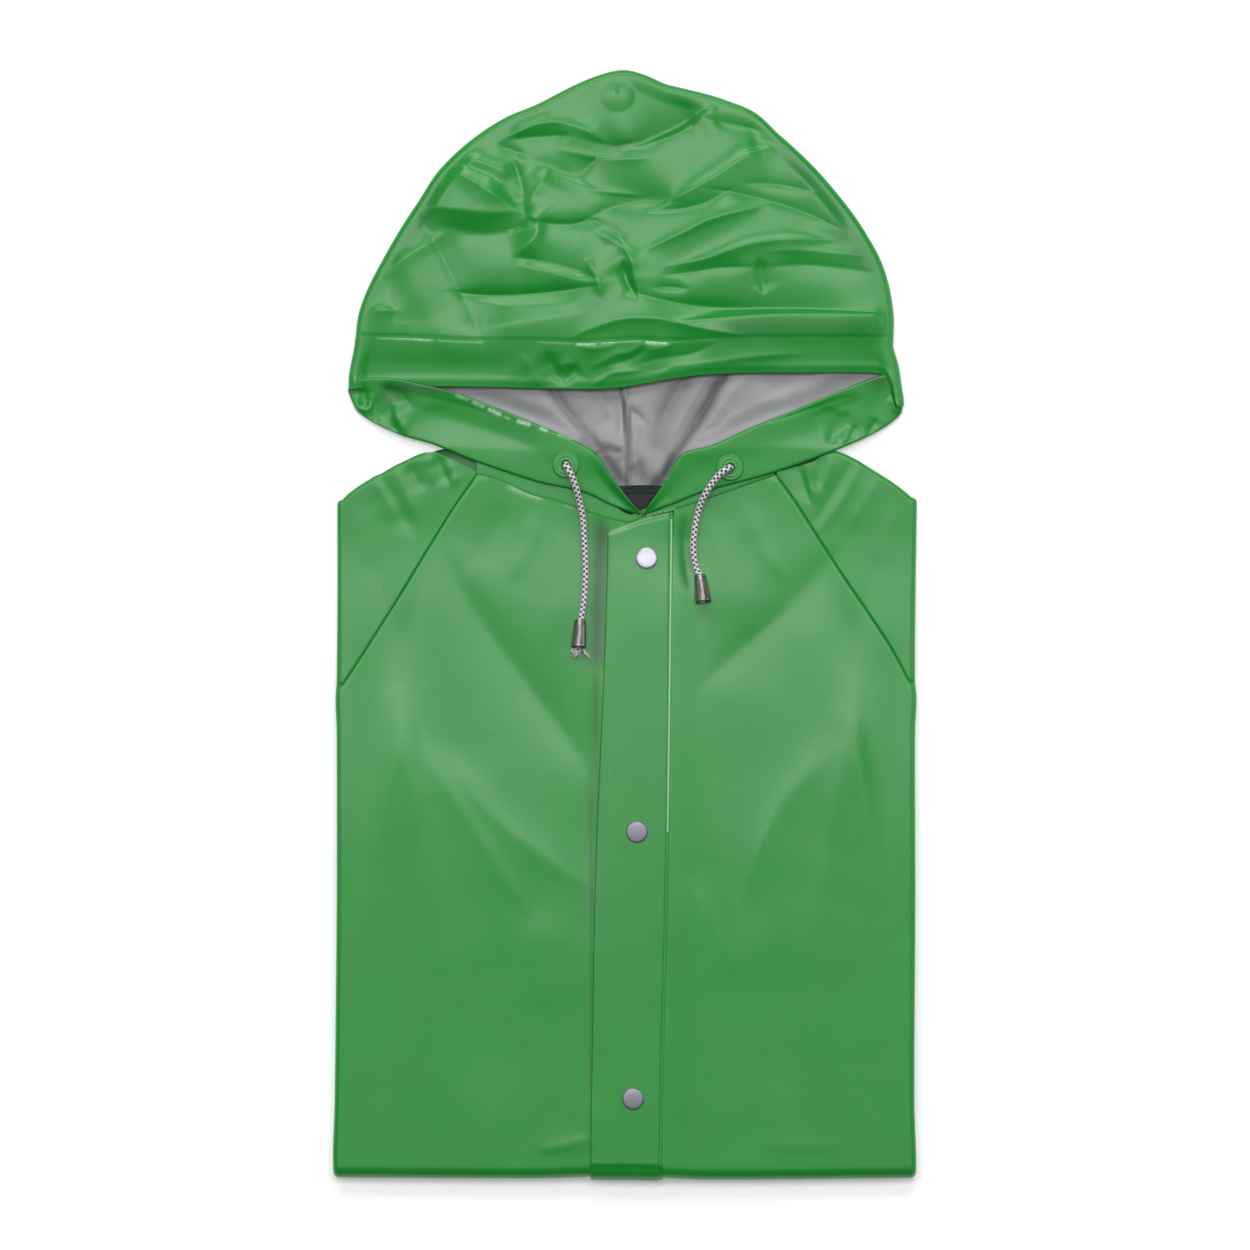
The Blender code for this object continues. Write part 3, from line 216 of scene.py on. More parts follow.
Crease = namedtuple("Crease", "path left right height soft")
CROWN_CREASES = table(
    Crease,
    (((-0.16, 0.23), (-0.138, 0.242), (-0.116, 0.256)), 0.006, 0.03, 0.003, 0.002),
    (((-0.114, 0.2172), (-0.085, 0.2145), (-0.05, 0.2165), (-0.015, 0.2215)),
     0.006, 0.018, -0.0048, 0.0006),
    (((-0.112, 0.2135), (-0.085, 0.2085), (-0.048, 0.2085), (-0.02, 0.212)), 0.006, 0.012, 0.001, 0.001),
    (((-0.073, 0.24), (-0.05, 0.2355), (-0.03, 0.23), (-0.016, 0.224)), 0.01, 0.005, -0.0026, 0.0006),
    (((-0.07, 0.234), (-0.048, 0.23), (-0.026, 0.224)), 0.004, 0.008, 0.0014, 0.0008),
    (((-0.12, 0.26), (-0.092, 0.2545), (-0.056, 0.259)), 0.009, 0.012, -0.0027, 0.002),
    (((-0.123, 0.299), (-0.105, 0.293), (-0.086, 0.281), (-0.069, 0.269)), 0.006, 0.009, 0.003, 0.0006),
    (((-0.115, 0.302), (-0.095, 0.296), (-0.08, 0.289)), 0.008, 0.006, -0.0016, 0.001),
    (((-0.139, 0.2735), (-0.115, 0.2715), (-0.09, 0.2685), (-0.066, 0.27)), 0.012, 0.011, 0.0029, 0.001),
    (((-0.065, 0.264), (-0.066, 0.278), (-0.069, 0.293), (-0.074, 0.305)), 0.008, 0.006, -0.003, 0.0006),
    (((-0.069, 0.269), (-0.056, 0.285), (-0.05, 0.298)), 0.01, 0.01, 0.002, 0.0008),
    (((-0.137, 0.274), (-0.1235, 0.248), (-0.11, 0.222), (-0.0995, 0.201), (-0.09, 0.18)),
     0.024, 0.026, -0.005, 0.001),
    (((-0.14, 0.274), (-0.143, 0.23), (-0.144, 0.198)), 0.016, 0.012, 0.0016, 0.003),
    (((-0.116, 0.308), (-0.095, 0.302), (-0.07, 0.293)), 0.004, 0.014, 0.002, 0.001),
    (((-0.144, 0.264), (-0.143, 0.23), (-0.147, 0.205)), 0.01, 0.008, -0.0012, 0.003),
    (((-0.174, 0.204), (-0.16, 0.205), (-0.1484, 0.2045)), 0.005, 0.008, 0.002, 0.0006),
    (((-0.075, 0.3165), (-0.052, 0.3184), (-0.034, 0.3188)), 0.004, 0.012, -0.0024, 0.0006),
    (((-0.078, 0.317), (-0.0573, 0.3262), (-0.04, 0.3274)), 0.008, 0.005, 0.0018, 0.0006),
    (((-0.048, 0.329), (-0.0249, 0.3219), (-0.012, 0.314)), 0.004, 0.006, 0.0016, 0.0005),
    (((-0.084, 0.3135), (-0.074, 0.3092), (-0.062, 0.305)), 0.004, 0.008, -0.0016, 0.0005),
    (((-0.066, 0.305), (-0.04, 0.295), (-0.01, 0.281), (0.035, 0.278)), 0.022, 0.01, -0.0036, 0.002),
    (((-0.045, 0.31), (-0.011, 0.3036), (0.018, 0.304)), 0.004, 0.004, 0.0012, 0.0005),
    (((-0.035, 0.3185), (-0.008, 0.3125), (0.02, 0.315)), 0.005, 0.005, -0.001, 0.0006),
    (((-0.045, 0.2935), (-0.018, 0.283), (0.014, 0.2795)), 0.004, 0.005, 0.0016, 0.0006),
    (((-0.035, 0.26), (-0.0111, 0.271), (0.0098, 0.275), (0.038, 0.2757)), 0.009, 0.014, -0.0026, 0.0006),
    (((-0.026, 0.265), (-0.0062, 0.256), (0.003, 0.243)), 0.006, 0.008, -0.0022, 0.0005),
    (((-0.022, 0.257), (-0.004, 0.248), (0.004, 0.24)), 0.004, 0.003, 0.0018, 0.0005),
    (((-0.064, 0.263), (-0.0374, 0.2608), (-0.018, 0.264)), 0.004, 0.012, -0.0024, 0.0005),
    (((-0.07, 0.271), (-0.058, 0.264), (-0.058, 0.254), (-0.066, 0.2455), (-0.074, 0.239)),
     0.012, 0.008, 0.003, 0.0006),
    (((-0.002, 0.238), (0.0015, 0.2246), (0.0085, 0.212)), 0.004, 0.005, -0.0032, 0.0006),
    (((-0.027, 0.238), (-0.02, 0.2293), (-0.015, 0.213)), 0.004, 0.004, 0.0018, 0.0006),
    (((-0.001, 0.248), (0.004, 0.237), (0.0055, 0.228), (0.0085, 0.213)), 0.009, 0.003, 0.0024, 0.0005),
    (((0.004, 0.2175), (0.023, 0.2118), (0.0401, 0.2085), (0.065, 0.2062), (0.115, 0.206), (0.178, 0.203)),
     0.007, 0.013, -0.005, 0.0006),
    (((0.026, 0.233), (0.0526, 0.2385), (0.0676, 0.244), (0.0825, 0.2485), (0.1025, 0.251),
     (0.136, 0.251)), 0.005, 0.009, 0.003, 0.0007),
    (((0.023, 0.2275), (0.0451, 0.23), (0.0601, 0.2325), (0.085, 0.233)), 0.006, 0.004, -0.0016, 0.0006),
    (((0.011, 0.243), (0.0401, 0.2565), (0.0551, 0.264), (0.095, 0.2745)), 0.006, 0.005, 0.0022, 0.0006),
    (((0.014, 0.269), (0.0401, 0.2715), (0.0526, 0.2752), (0.07, 0.284)), 0.006, 0.004, -0.002, 0.0004),
    (((0.048, 0.2842), (0.0676, 0.2824), (0.0775, 0.28), (0.0962, 0.2755), (0.115, 0.2695),
     (0.145, 0.256)), 0.005, 0.004, -0.0014, 0.0004),
    (((0.075, 0.288), (0.1, 0.2866), (0.128, 0.281)), 0.005, 0.004, -0.0011, 0.0004),
    (((0.0865, 0.24), (0.0885, 0.228), (0.0908, 0.214)), 0.005, 0.003, -0.0018, 0.0005),
    (((0.09, 0.243), (0.11, 0.244), (0.16, 0.24)), 0.005, 0.006, 0.0012, 0.0008),
    (((0.092, 0.233), (0.12, 0.2345), (0.165, 0.229)), 0.004, 0.008, -0.0012, 0.0008),
    (((0.018, 0.2195), (0.03, 0.2198), (0.042, 0.2185)), 0.003, 0.003, -0.0013, 0.0005),
    (((-0.032, 0.29), (-0.016, 0.306), (0.006, 0.315)), 0.01, 0.006, -0.0026, 0.0006),
    (((0.0, 0.311), (0.0227, 0.3195), (0.0401, 0.3282), (0.058, 0.339)), 0.018, 0.006, -0.0048, 0.0006),
    (((0.013, 0.313), (0.033, 0.319), (0.05, 0.329)), 0.004, 0.005, 0.0012, 0.0005),
    (((0.04, 0.327), (0.053, 0.335), (0.064, 0.338)), 0.004, 0.006, 0.0018, 0.0005),
    (((0.052, 0.33), (0.07, 0.3256), (0.096, 0.3215)), 0.005, 0.004, -0.0016, 0.0004),
    (((0.02, 0.27), (0.0588, 0.2925), (0.0775, 0.305), (0.106, 0.318)), 0.006, 0.024, 0.0034, 0.001),
    (((0.078, 0.309), (0.092, 0.313), (0.106, 0.318)), 0.008, 0.004, -0.002, 0.0005),
    (((-0.036, 0.187), (-0.0174, 0.1945), (-0.0049, 0.1985), (0.0098, 0.1998), (0.0276, 0.1986),
     (0.0464, 0.1938), (0.078, 0.188)), 0.01, 0.006, 0.0026, 0.0005),
    (((0.03, 0.1965), (0.1, 0.2022), (0.195, 0.201)), 0.005, 0.018, 0.0054, 0.001),
    (((-0.0905, 0.1935), (-0.056, 0.199), (-0.025, 0.203)), 0.01, 0.014, 0.0014, 0.002),
    (((0.1, 0.308), (0.123, 0.28), (0.146, 0.248)), 0.012, 0.016, 0.0016, 0.003),
    (((-0.09, 0.315), (-0.11, 0.296), (-0.13, 0.27)), 0.012, 0.01, 0.0012, 0.003),
)
CASING_CREASES = table(
    Crease,
    (((-0.052, 0.179), (-0.0456, 0.1652), (-0.041, 0.1582), (-0.0372, 0.1538)),
     0.004, 0.006, -0.0021, 0.0006),
    (((-0.03, 0.17), (-0.0363, 0.1606), (-0.0412, 0.1566)), 0.004, 0.004, -0.0016, 0.0006),
    (((-0.045, 0.1676), (-0.039, 0.17), (-0.033, 0.1682)), 0.003, 0.004, 0.001, 0.0007),
    (((-0.022, 0.1548), (-0.0107, 0.1626), (-0.0014, 0.1646), (0.011, 0.1652)),
     0.004, 0.004, 0.0015, 0.0006),
    (((-0.023, 0.1675), (-0.013, 0.1722), (-0.0061, 0.1757), (0.0044, 0.178), (0.014, 0.185)),
     0.005, 0.004, 0.0015, 0.0006),
    (((-0.011, 0.169), (0.0044, 0.1738), (0.015, 0.18)), 0.004, 0.004, -0.0013, 0.0006),
    (((0.02, 0.161), (0.03, 0.1676), (0.0393, 0.169), (0.0568, 0.171), (0.09, 0.1752), (0.115, 0.1765)),
     0.008, 0.006, 0.0017, 0.0008),
    (((-0.07, 0.1775), (-0.06, 0.165), (-0.0535, 0.154)), 0.005, 0.008, 0.001, 0.0012),
    (((-0.03, 0.181), (-0.017, 0.18), (-0.004, 0.1835)), 0.004, 0.004, 0.001, 0.0006),
    (((0.006, 0.169), (0.022, 0.1735), (0.042, 0.1765), (0.06, 0.1835)), 0.005, 0.005, -0.0012, 0.0007),
    (((0.013, 0.179), (0.023, 0.18), (0.033, 0.1835)), 0.003, 0.004, 0.0009, 0.0006),
    (((-0.173, 0.17), (-0.1, 0.169), (-0.07, 0.169)), 0.012, 0.01, -0.0012, 0.004),
    (((0.06, 0.18), (0.12, 0.183), (0.17, 0.183)), 0.014, 0.012, -0.0012, 0.004),
)
BODY_CREASES = table(
    Crease,
    (((-0.12, 0.048), (-0.095, 0.004), (-0.06, -0.043), (-0.033, -0.081), (-0.02, -0.105)),
     0.012, 0.016, -0.0022, 0.003),
    (((-0.145, -0.065), (-0.12, -0.101), (-0.099, -0.133), (-0.081, -0.161), (-0.06, -0.19)),
     0.009, 0.026, 0.0014, 0.0015),
    (((-0.125, -0.078), (-0.084, -0.127), (-0.058, -0.148), (-0.024, -0.172)), 0.01, 0.014, 0.0012, 0.002),
    (((-0.1265, -0.12), (-0.1275, -0.22), (-0.126, -0.34)), 0.009, 0.009, 0.0008, 0.004),
    (((-0.0555, -0.18), (-0.057, -0.215), (-0.048, -0.26)), 0.02, 0.008, 0.0009, 0.003),
    (((-0.085, -0.19), (-0.08, -0.25), (-0.082, -0.32)), 0.02, 0.02, -0.001, 0.01),
    (((0.14, 0.052), (0.106, 0.011), (0.08, -0.012), (0.05, -0.04)), 0.02, 0.014, -0.0022, 0.003),
    (((0.076, -0.185), (0.089, -0.143), (0.102, -0.117), (0.118, -0.098), (0.148, -0.068)),
     0.009, 0.026, 0.0014, 0.0015),
    (((0.05, 0.005), (0.05, -0.05), (0.0515, -0.09), (0.057, -0.128), (0.068, -0.179), (0.085, -0.225)),
     0.012, 0.03, 0.0012, 0.004),
    (((0.035, -0.16), (0.056, -0.195), (0.085, -0.24)), 0.014, 0.018, 0.0008, 0.003),
    (((0.126, -0.13), (0.127, -0.22), (0.125, -0.33)), 0.01, 0.012, 0.0008, 0.004),
    (((0.106, -0.2), (0.104, -0.26), (0.11, -0.32)), 0.016, 0.016, -0.001, 0.008),
    (((-0.058, -0.342), (-0.042, -0.3395), (-0.021, -0.3345)), 0.006, 0.003, 0.0009, 0.0006),
    (((-0.028, -0.352), (-0.0235, -0.33), (-0.0225, -0.3)), 0.004, 0.004, 0.0006, 0.0015),
    (((0.085, -0.338), (0.115, -0.339), (0.145, -0.3375)), 0.006, 0.004, 0.0004, 0.001),
    (((-0.014, 0.09), (-0.0152, 0.04), (-0.0178, -0.04)), 0.005, 0.007, -0.0016, 0.0014),
    (((-0.0185, -0.03), (-0.02, -0.085), (-0.0209, -0.13), (-0.0215, -0.185)),
     0.003, 0.006, -0.0017, 0.0005),
    (((-0.056, 0.078), (-0.062, 0.054), (-0.08, 0.025)), 0.006, 0.006, 0.0006, 0.002),
    (((-0.076, 0.082), (-0.086, 0.06), (-0.105, 0.035)), 0.008, 0.008, -0.0005, 0.003),
    (((-0.045, 0.07), (-0.04, 0.03), (-0.05, -0.015)), 0.008, 0.008, 0.0006, 0.003),
    (((0.0385, 0.073), (0.039, 0.048), (0.043, 0.02)), 0.005, 0.006, -0.0018, 0.001),
    (((0.052, 0.076), (0.06, 0.04), (0.056, -0.005)), 0.008, 0.008, 0.0006, 0.003),
    (((0.075, 0.082), (0.088, 0.052), (0.108, 0.025)), 0.01, 0.008, 0.0006, 0.003),
)
SHOULDER_CREASES = table(
    Crease,
    (((-0.131, 0.114), (-0.127, 0.098), (-0.124, 0.09)), 0.003, 0.003, 0.0008, 0.0006),
    (((-0.124, 0.112), (-0.119, 0.1), (-0.114, 0.09)), 0.003, 0.004, -0.0012, 0.0006),
    (((-0.117, 0.11), (-0.113, 0.098), (-0.111, 0.088)), 0.003, 0.003, 0.0008, 0.0006),
    (((-0.142, 0.106), (-0.137, 0.096), (-0.131, 0.086)), 0.004, 0.004, -0.0012, 0.0006),
    (((-0.153, 0.106), (-0.144, 0.087), (-0.134, 0.064)), 0.005, 0.004, 0.0009, 0.0008),
    (((-0.162, 0.101), (-0.149, 0.079), (-0.137, 0.056)), 0.004, 0.006, -0.0009, 0.0008),
    (((-0.168, 0.098), (-0.156, 0.082), (-0.148, 0.065)), 0.005, 0.004, 0.0008, 0.001),
    (((-0.179, 0.08), (-0.17, 0.06), (-0.164, 0.035)), 0.008, 0.008, 0.0003, 0.003),
    (((0.108, 0.113), (0.115, 0.092), (0.119, 0.078)), 0.003, 0.004, -0.0014, 0.0005),
    (((0.1165, 0.113), (0.119, 0.094), (0.123, 0.078)), 0.003, 0.003, 0.001, 0.0006),
    (((0.128, 0.115), (0.1255, 0.097), (0.125, 0.085)), 0.003, 0.004, -0.0009, 0.0006),
    (((0.133, 0.113), (0.131, 0.1), (0.127, 0.086)), 0.003, 0.003, 0.0007, 0.0006),
    (((0.146, 0.108), (0.135, 0.087), (0.12, 0.062)), 0.005, 0.004, -0.0009, 0.0006),
    (((0.153, 0.107), (0.141, 0.084), (0.125, 0.06)), 0.004, 0.005, 0.0008, 0.0008),
    (((0.166, 0.099), (0.154, 0.079), (0.141, 0.06)), 0.005, 0.005, 0.0005, 0.001),
    (((0.179, 0.08), (0.169, 0.06), (0.163, 0.035)), 0.008, 0.008, 0.0003, 0.003),
)
LINING_CREASES = table(
    Crease,
    (((0.071, 0.172), (0.06, 0.1562), (0.0559, 0.1478), (0.0476, 0.1337), (0.0409, 0.1228),
     (0.0301, 0.1062), (0.023, 0.09)), 0.004, 0.007, -0.004, 0.0006),
    (((0.09, 0.172), (0.074, 0.156), (0.058, 0.138), (0.047, 0.124)), 0.007, 0.01, 0.0018, 0.0012),
    (((0.044, 0.172), (0.036, 0.156), (0.027, 0.14), (0.021, 0.124)), 0.005, 0.005, -0.0022, 0.0012),
    (((0.056, 0.166), (0.046, 0.15), (0.036, 0.133), (0.028, 0.12)), 0.004, 0.004, 0.0016, 0.0008),
    (((-0.056, 0.168), (-0.047, 0.153), (-0.039, 0.141), (-0.029, 0.129), (-0.017, 0.115)),
     0.005, 0.003, -0.0036, 0.0006),
    (((-0.066, 0.164), (-0.056, 0.15), (-0.044, 0.136)), 0.006, 0.006, 0.0008, 0.002),
    (((-0.035, 0.17), (-0.023, 0.156), (-0.012, 0.144), (-0.008, 0.13)), 0.006, 0.006, -0.0022, 0.0012),
    (((-0.005, 0.172), (-0.0035, 0.155), (-0.002, 0.138), (-0.003, 0.12)), 0.002, 0.004, -0.0034, 0.0005),
    (((0.004, 0.143), (0.008, 0.137), (0.015, 0.132)), 0.003, 0.003, -0.0012, 0.0006),
    (((0.011, 0.13), (0.007, 0.124), (0.005, 0.112)), 0.003, 0.004, -0.0016, 0.0006),
    (((-0.029, 0.108), (-0.0182, 0.1128), (-0.0107, 0.1149), (-0.001, 0.1133)),
     0.006, 0.003, -0.0026, 0.0006),
    (((-0.021, 0.118), (-0.012, 0.12), (-0.004, 0.119)), 0.004, 0.004, 0.001, 0.001),
    (((0.003, 0.118), (0.008, 0.105), (0.011, 0.093)), 0.004, 0.006, -0.0022, 0.001),
    (((0.13, 0.172), (0.112, 0.162), (0.09, 0.148)), 0.012, 0.012, -0.002, 0.003),
    (((0.07, 0.14), (0.06, 0.13), (0.045, 0.123)), 0.005, 0.004, -0.0014, 0.0008),
)
CASING_RIGHT_CREASES = table(
    Crease,
    (((-0.1748, 0.153), (-0.1742, 0.1423), (-0.1679, 0.1404), (-0.1652, 0.145), (-0.1665, 0.153)),
     0.002, 0.002, 0.0016, 0.0004),
    (((-0.1703, 0.156), (-0.1695, 0.147), (-0.1688, 0.141)), 0.002, 0.002, -0.0018, 0.0004),
    (((-0.164, 0.15), (-0.1632, 0.139), (-0.162, 0.129)), 0.003, 0.003, -0.0018, 0.0004),
    (((-0.1528, 0.145), (-0.153, 0.1341), (-0.1463, 0.123)), 0.003, 0.004, -0.0022, 0.0004),
    (((-0.15, 0.145), (-0.1487, 0.136), (-0.142, 0.124)), 0.004, 0.003, 0.0018, 0.0005),
    (((-0.16, 0.156), (-0.148, 0.15), (-0.138, 0.144)), 0.006, 0.008, -0.0016, 0.001),
    (((-0.14, 0.15), (-0.115, 0.1455), (-0.0933, 0.139), (-0.078, 0.133)), 0.004, 0.004, -0.0006, 0.0006),
    (((-0.15, 0.145), (-0.11, 0.134), (-0.08, 0.124), (-0.05, 0.111)), 0.01, 0.008, -0.001, 0.003),
    (((-0.023, 0.108), (-0.013, 0.092), (0.003, 0.076)), 0.004, 0.006, -0.0008, 0.001),
)
CASING_LEFT_CREASES = table(
    Crease,
    (((0.1736, 0.151), (0.1762, 0.1414), (0.1805, 0.1383)), 0.002, 0.002, 0.0016, 0.0004),
    (((0.1752, 0.154), (0.1785, 0.143), (0.179, 0.139)), 0.0015, 0.0015, -0.0016, 0.0004),
    (((0.1467, 0.14), (0.1386, 0.1268), (0.13, 0.118)), 0.004, 0.005, -0.0016, 0.0008),
    (((0.148, 0.129), (0.144, 0.122), (0.142, 0.117)), 0.002, 0.002, 0.0008, 0.0004),
    (((0.1515, 0.131), (0.147, 0.123), (0.145, 0.119)), 0.002, 0.002, -0.001, 0.0004),
    (((0.165, 0.135), (0.1605, 0.128), (0.158, 0.123)), 0.003, 0.003, -0.0012, 0.0005),
    (((0.156, 0.148), (0.14, 0.142), (0.12, 0.134)), 0.008, 0.006, -0.0012, 0.0015),
    (((0.086, 0.1296), (0.118, 0.14), (0.1537, 0.151)), 0.002, 0.002, -0.0005, 0.0003),
    (((0.029, 0.106), (0.026, 0.096), (0.016, 0.079)), 0.006, 0.005, -0.0008, 0.001),
)

# Lines where the coating is stretched or worn pale: a path, how wide and how strong

Wear = namedtuple("Wear", "path width strength")
WELD_WEAR = table(
    Wear,
    (((-0.164, 0.188), (-0.1396, 0.1869), (-0.123, 0.1855)), 0.0011, 0.85),
    (((-0.124, 0.1856), (-0.108, 0.1846), (-0.09, 0.1842)), 0.0007, 0.45),
    (((-0.06, 0.1846), (-0.0421, 0.1838), (-0.032, 0.1834)), 0.0007, 0.35),
    (((-0.033, 0.1832), (-0.026, 0.1832), (-0.018, 0.1835)), 0.0013, 0.9),
    (((-0.018, 0.1838), (0.0, 0.1848), (0.013, 0.1851)), 0.0008, 0.6),
    (((0.012, 0.1843), (0.019, 0.184), (0.029, 0.1838)), 0.0014, 1.0),
    (((0.029, 0.1842), (0.045, 0.1855), (0.06, 0.186)), 0.0006, 0.3),
)
BODY_WEAR = table(
    Wear,
    (((0.0305, 0.074), (0.03, 0.03), (0.029, -0.05), (0.0276, -0.1398)), 0.0009, 0.1),
    (((-0.078, 0.0915), (-0.064, 0.0855), (-0.052, 0.0815)), 0.0013, 0.6),
    (((-0.04, 0.079), (-0.031, 0.0765), (-0.023, 0.075)), 0.0007, 0.3),
)
CASING_WEAR = table(
    Wear,
    (((-0.111, 0.15), (-0.106, 0.148), (-0.101, 0.146)), 0.0009, 0.45),
    (((-0.1, 0.1456), (-0.095, 0.1434), (-0.0905, 0.1414)), 0.0011, 0.75),
    (((-0.09, 0.1411), (-0.086, 0.1392), (-0.08, 0.1364)), 0.0012, 0.85),
    (((-0.079, 0.136), (-0.077, 0.135), (-0.0745, 0.1338)), 0.0008, 0.45),
    (((-0.071, 0.1332), (-0.066, 0.1316), (-0.061, 0.13)), 0.0012, 0.8),
    (((-0.056, 0.1285), (-0.0532, 0.1274), (-0.05, 0.1258)), 0.0011, 0.7),
    (((-0.045, 0.1244), (-0.039, 0.1226), (-0.033, 0.1205)), 0.0007, 0.4),
)

# Painted shade: places in folds, beside the fly and under the brim, where the colour is darkened to stand in
# for shade: a path, how wide and how strong

# Painted shade in the trough beside the fly and in a fold by the neck
BODY_PAINTED_SHADE = table(
    Wear,
    (((-0.015, 0.076), (-0.016, 0.045), (-0.0172, 0.01), (-0.0186, -0.035)), 0.0052, 1.0),
    (((-0.018, -0.015), (-0.0197, -0.06), (-0.0208, -0.11), (-0.0215, -0.16), (-0.0219, -0.21)),
     0.0016, 0.6),
    (((-0.0214, -0.17), (-0.0222, -0.26), (-0.0226, -0.355)), 0.001, 0.35),
    (((0.0372, 0.074), (0.0385, 0.048), (0.041, 0.02)), 0.003, 0.3),
)
# Painted shade in the lining's folds, and along the last two paths a painted shadow under the brim
LINING_PAINTED_SHADE = table(
    Wear,
    (((-0.056, 0.164), (-0.047, 0.153), (-0.029, 0.129), (-0.017, 0.115)), 0.003, 0.6),
    (((-0.04, 0.16), (-0.024, 0.148), (-0.01, 0.13)), 0.012, 0.3),
    (((-0.035, 0.106), (-0.0182, 0.1124), (-0.0107, 0.1145), (0.002, 0.1128)), 0.003, 1.0),
    (((-0.033, 0.124), (-0.018, 0.115), (-0.008, 0.106), (-0.003, 0.088)), 0.008, 0.62),
    (((0.003, 0.108), (0.009, 0.099), (0.02, 0.094), (0.03, 0.092)), 0.0075, 0.8),
    (((0.002, 0.144), (0.0109, 0.1362), (0.0151, 0.132), (0.019, 0.127)), 0.0014, 0.55),
    (((-0.0042, 0.162), (-0.0006, 0.1413), (0.0009, 0.1187), (0.0012, 0.086)), 0.0012, 0.95),
    (((0.001, 0.15), (0.0028, 0.138), (0.0042, 0.1187), (0.0044, 0.086)), 0.0009, 0.85),
    (((0.074, 0.172), (0.06, 0.1562), (0.0559, 0.1478), (0.0476, 0.1337), (0.0409, 0.1228),
     (0.0301, 0.1062), (0.02, 0.086)), 0.0034, 1.0),
    (((0.045, 0.168), (0.036, 0.156), (0.025, 0.136), (0.019, 0.108)), 0.009, 0.55),
    (((-0.09, 0.159), (-0.03, 0.158), (0.02, 0.164), (0.06, 0.166)), 0.007, 0.7),
    (((0.05, 0.167), (0.1, 0.168), (0.15, 0.169)), 0.004, 0.6),
)
# Painted shadow of the brim over the casing's ends, and painted shade in a fold by the neck
CASING_PAINTED_SHADE = table(
    Wear,
    (((-0.164, 0.154), (-0.12, 0.1545), (-0.09, 0.155)), 0.0045, 0.75),
    (((-0.162, 0.152), (-0.156, 0.149), (-0.146, 0.145)), 0.0045, 0.45),
    (((0.14, 0.165), (0.156, 0.163), (0.172, 0.156)), 0.006, 0.6),
    (((-0.01, 0.096), (0.0, 0.083), (0.008, 0.075)), 0.0025, 0.25),
)
# Painted shade on crown facets turned from the light and along the crown's base
CROWN_PAINTED_SHADE = table(
    Wear,
    (((-0.118, 0.29), (-0.13, 0.27), (-0.144, 0.24)), 0.006, 0.25),
    (((0.095, 0.315), (0.125, 0.285), (0.148, 0.25), (0.162, 0.22)), 0.006, 0.3),
    (((0.05, 0.192), (0.1, 0.1935), (0.17, 0.193)), 0.0065, 0.3),
    (((-0.029, 0.29), (0.0, 0.312), (0.03, 0.322), (0.056, 0.335)), 0.006, 0.22),
)

# Cord routes, the same points as the solids', and the middle of each bell's mouth

CORD_RIGHT_ROUTE = (
    (-0.0385, 0.1045, 0.0122), (-0.0384, 0.104, 0.0143), (-0.0366, 0.101, 0.0163),
    (-0.034, 0.0955, 0.0162), (-0.0318, 0.089, 0.0151), (-0.0295, 0.08, 0.0114), (-0.0274, 0.0689, 0.0093),
    (-0.0266, 0.0569, 0.0091), (-0.026, 0.0448, 0.0095), (-0.0258, 0.0327, 0.0102),
    (-0.0263, 0.0207, 0.0109), (-0.0274, 0.0111, 0.0115), (-0.0291, 0.002, 0.0128),
)
CORD_LEFT_ROUTE = (
    (0.0685, 0.1027, 0.0122), (0.0682, 0.1026, 0.0143), (0.0655, 0.101, 0.0163), (0.061, 0.0975, 0.0163),
    (0.057, 0.0925, 0.0155), (0.0524, 0.0855, 0.0139), (0.0487, 0.0772, 0.0108), (0.0466, 0.0689, 0.0093),
    (0.0451, 0.0593, 0.0091), (0.0445, 0.052, 0.0092), (0.0449, 0.0448, 0.0096), (0.0463, 0.0376, 0.0101),
    (0.0489, 0.0314, 0.0114),
)
BELL_RIGHT_MOUTH = Point(-0.0303, -0.0166)
BELL_LEFT_MOUTH = Point(0.0514, 0.0137)


# Tables, curves and creases over arrays of places

def blend(a, b, t):
    return a + (b - a) * t


def fade(low, high, value):
    """0 below low, 1 above high, and a smooth step between."""
    t = np.clip((value - low) / (high - low), 0.0, 1.0)
    return t * t * (3.0 - 2.0 * t)


def bell_curve(value, middle, width):
    """1 at the middle, and less the further a value is from it."""
    return np.exp(-((value - middle) / width) ** 2)


def follow(pairs, at):
    """Smooth curve through (position, value) pairs in rising position, held level past both ends."""
    places, values = (np.array(column, float) for column in zip(*[(pair[0], pair[1]) for pair in pairs]))
    at = np.clip(at, places[0], places[-1])
    i = np.clip(np.searchsorted(places, at, side="right") - 1, 0, len(places) - 2)
    low = np.maximum(np.arange(len(places)) - 1, 0)
    high = np.minimum(np.arange(len(places)) + 1, len(places) - 1)
    slope = (values[high] - values[low]) / (places[high] - places[low])
    width = places[i + 1] - places[i]
    t = (at - places[i]) / width
    rise = t * t * (3.0 - 2.0 * t)
    leave = slope[i] * width * t * (1.0 - t) ** 2
    arrive = slope[i + 1] * width * t * t * (1.0 - t)
    return blend(values[i], values[i + 1], rise) + leave - arrive


def stacked(*axes):
    """Points whose coordinates are these numbers or arrays."""
    return np.stack(np.broadcast_arrays(*axes), axis=-1)


def route_points(route, t):
    """Points at t, an array from 0 to 1, on a smooth curve through a route's points."""
    route = np.array(route, float)
    stations = np.concatenate([[0.0], np.cumsum(np.linalg.norm(np.diff(route, axis=0), axis=1))])
    at = np.asarray(t) * stations[-1]
    return stacked(*(follow(list(zip(stations, axis)), at) for axis in route.T))


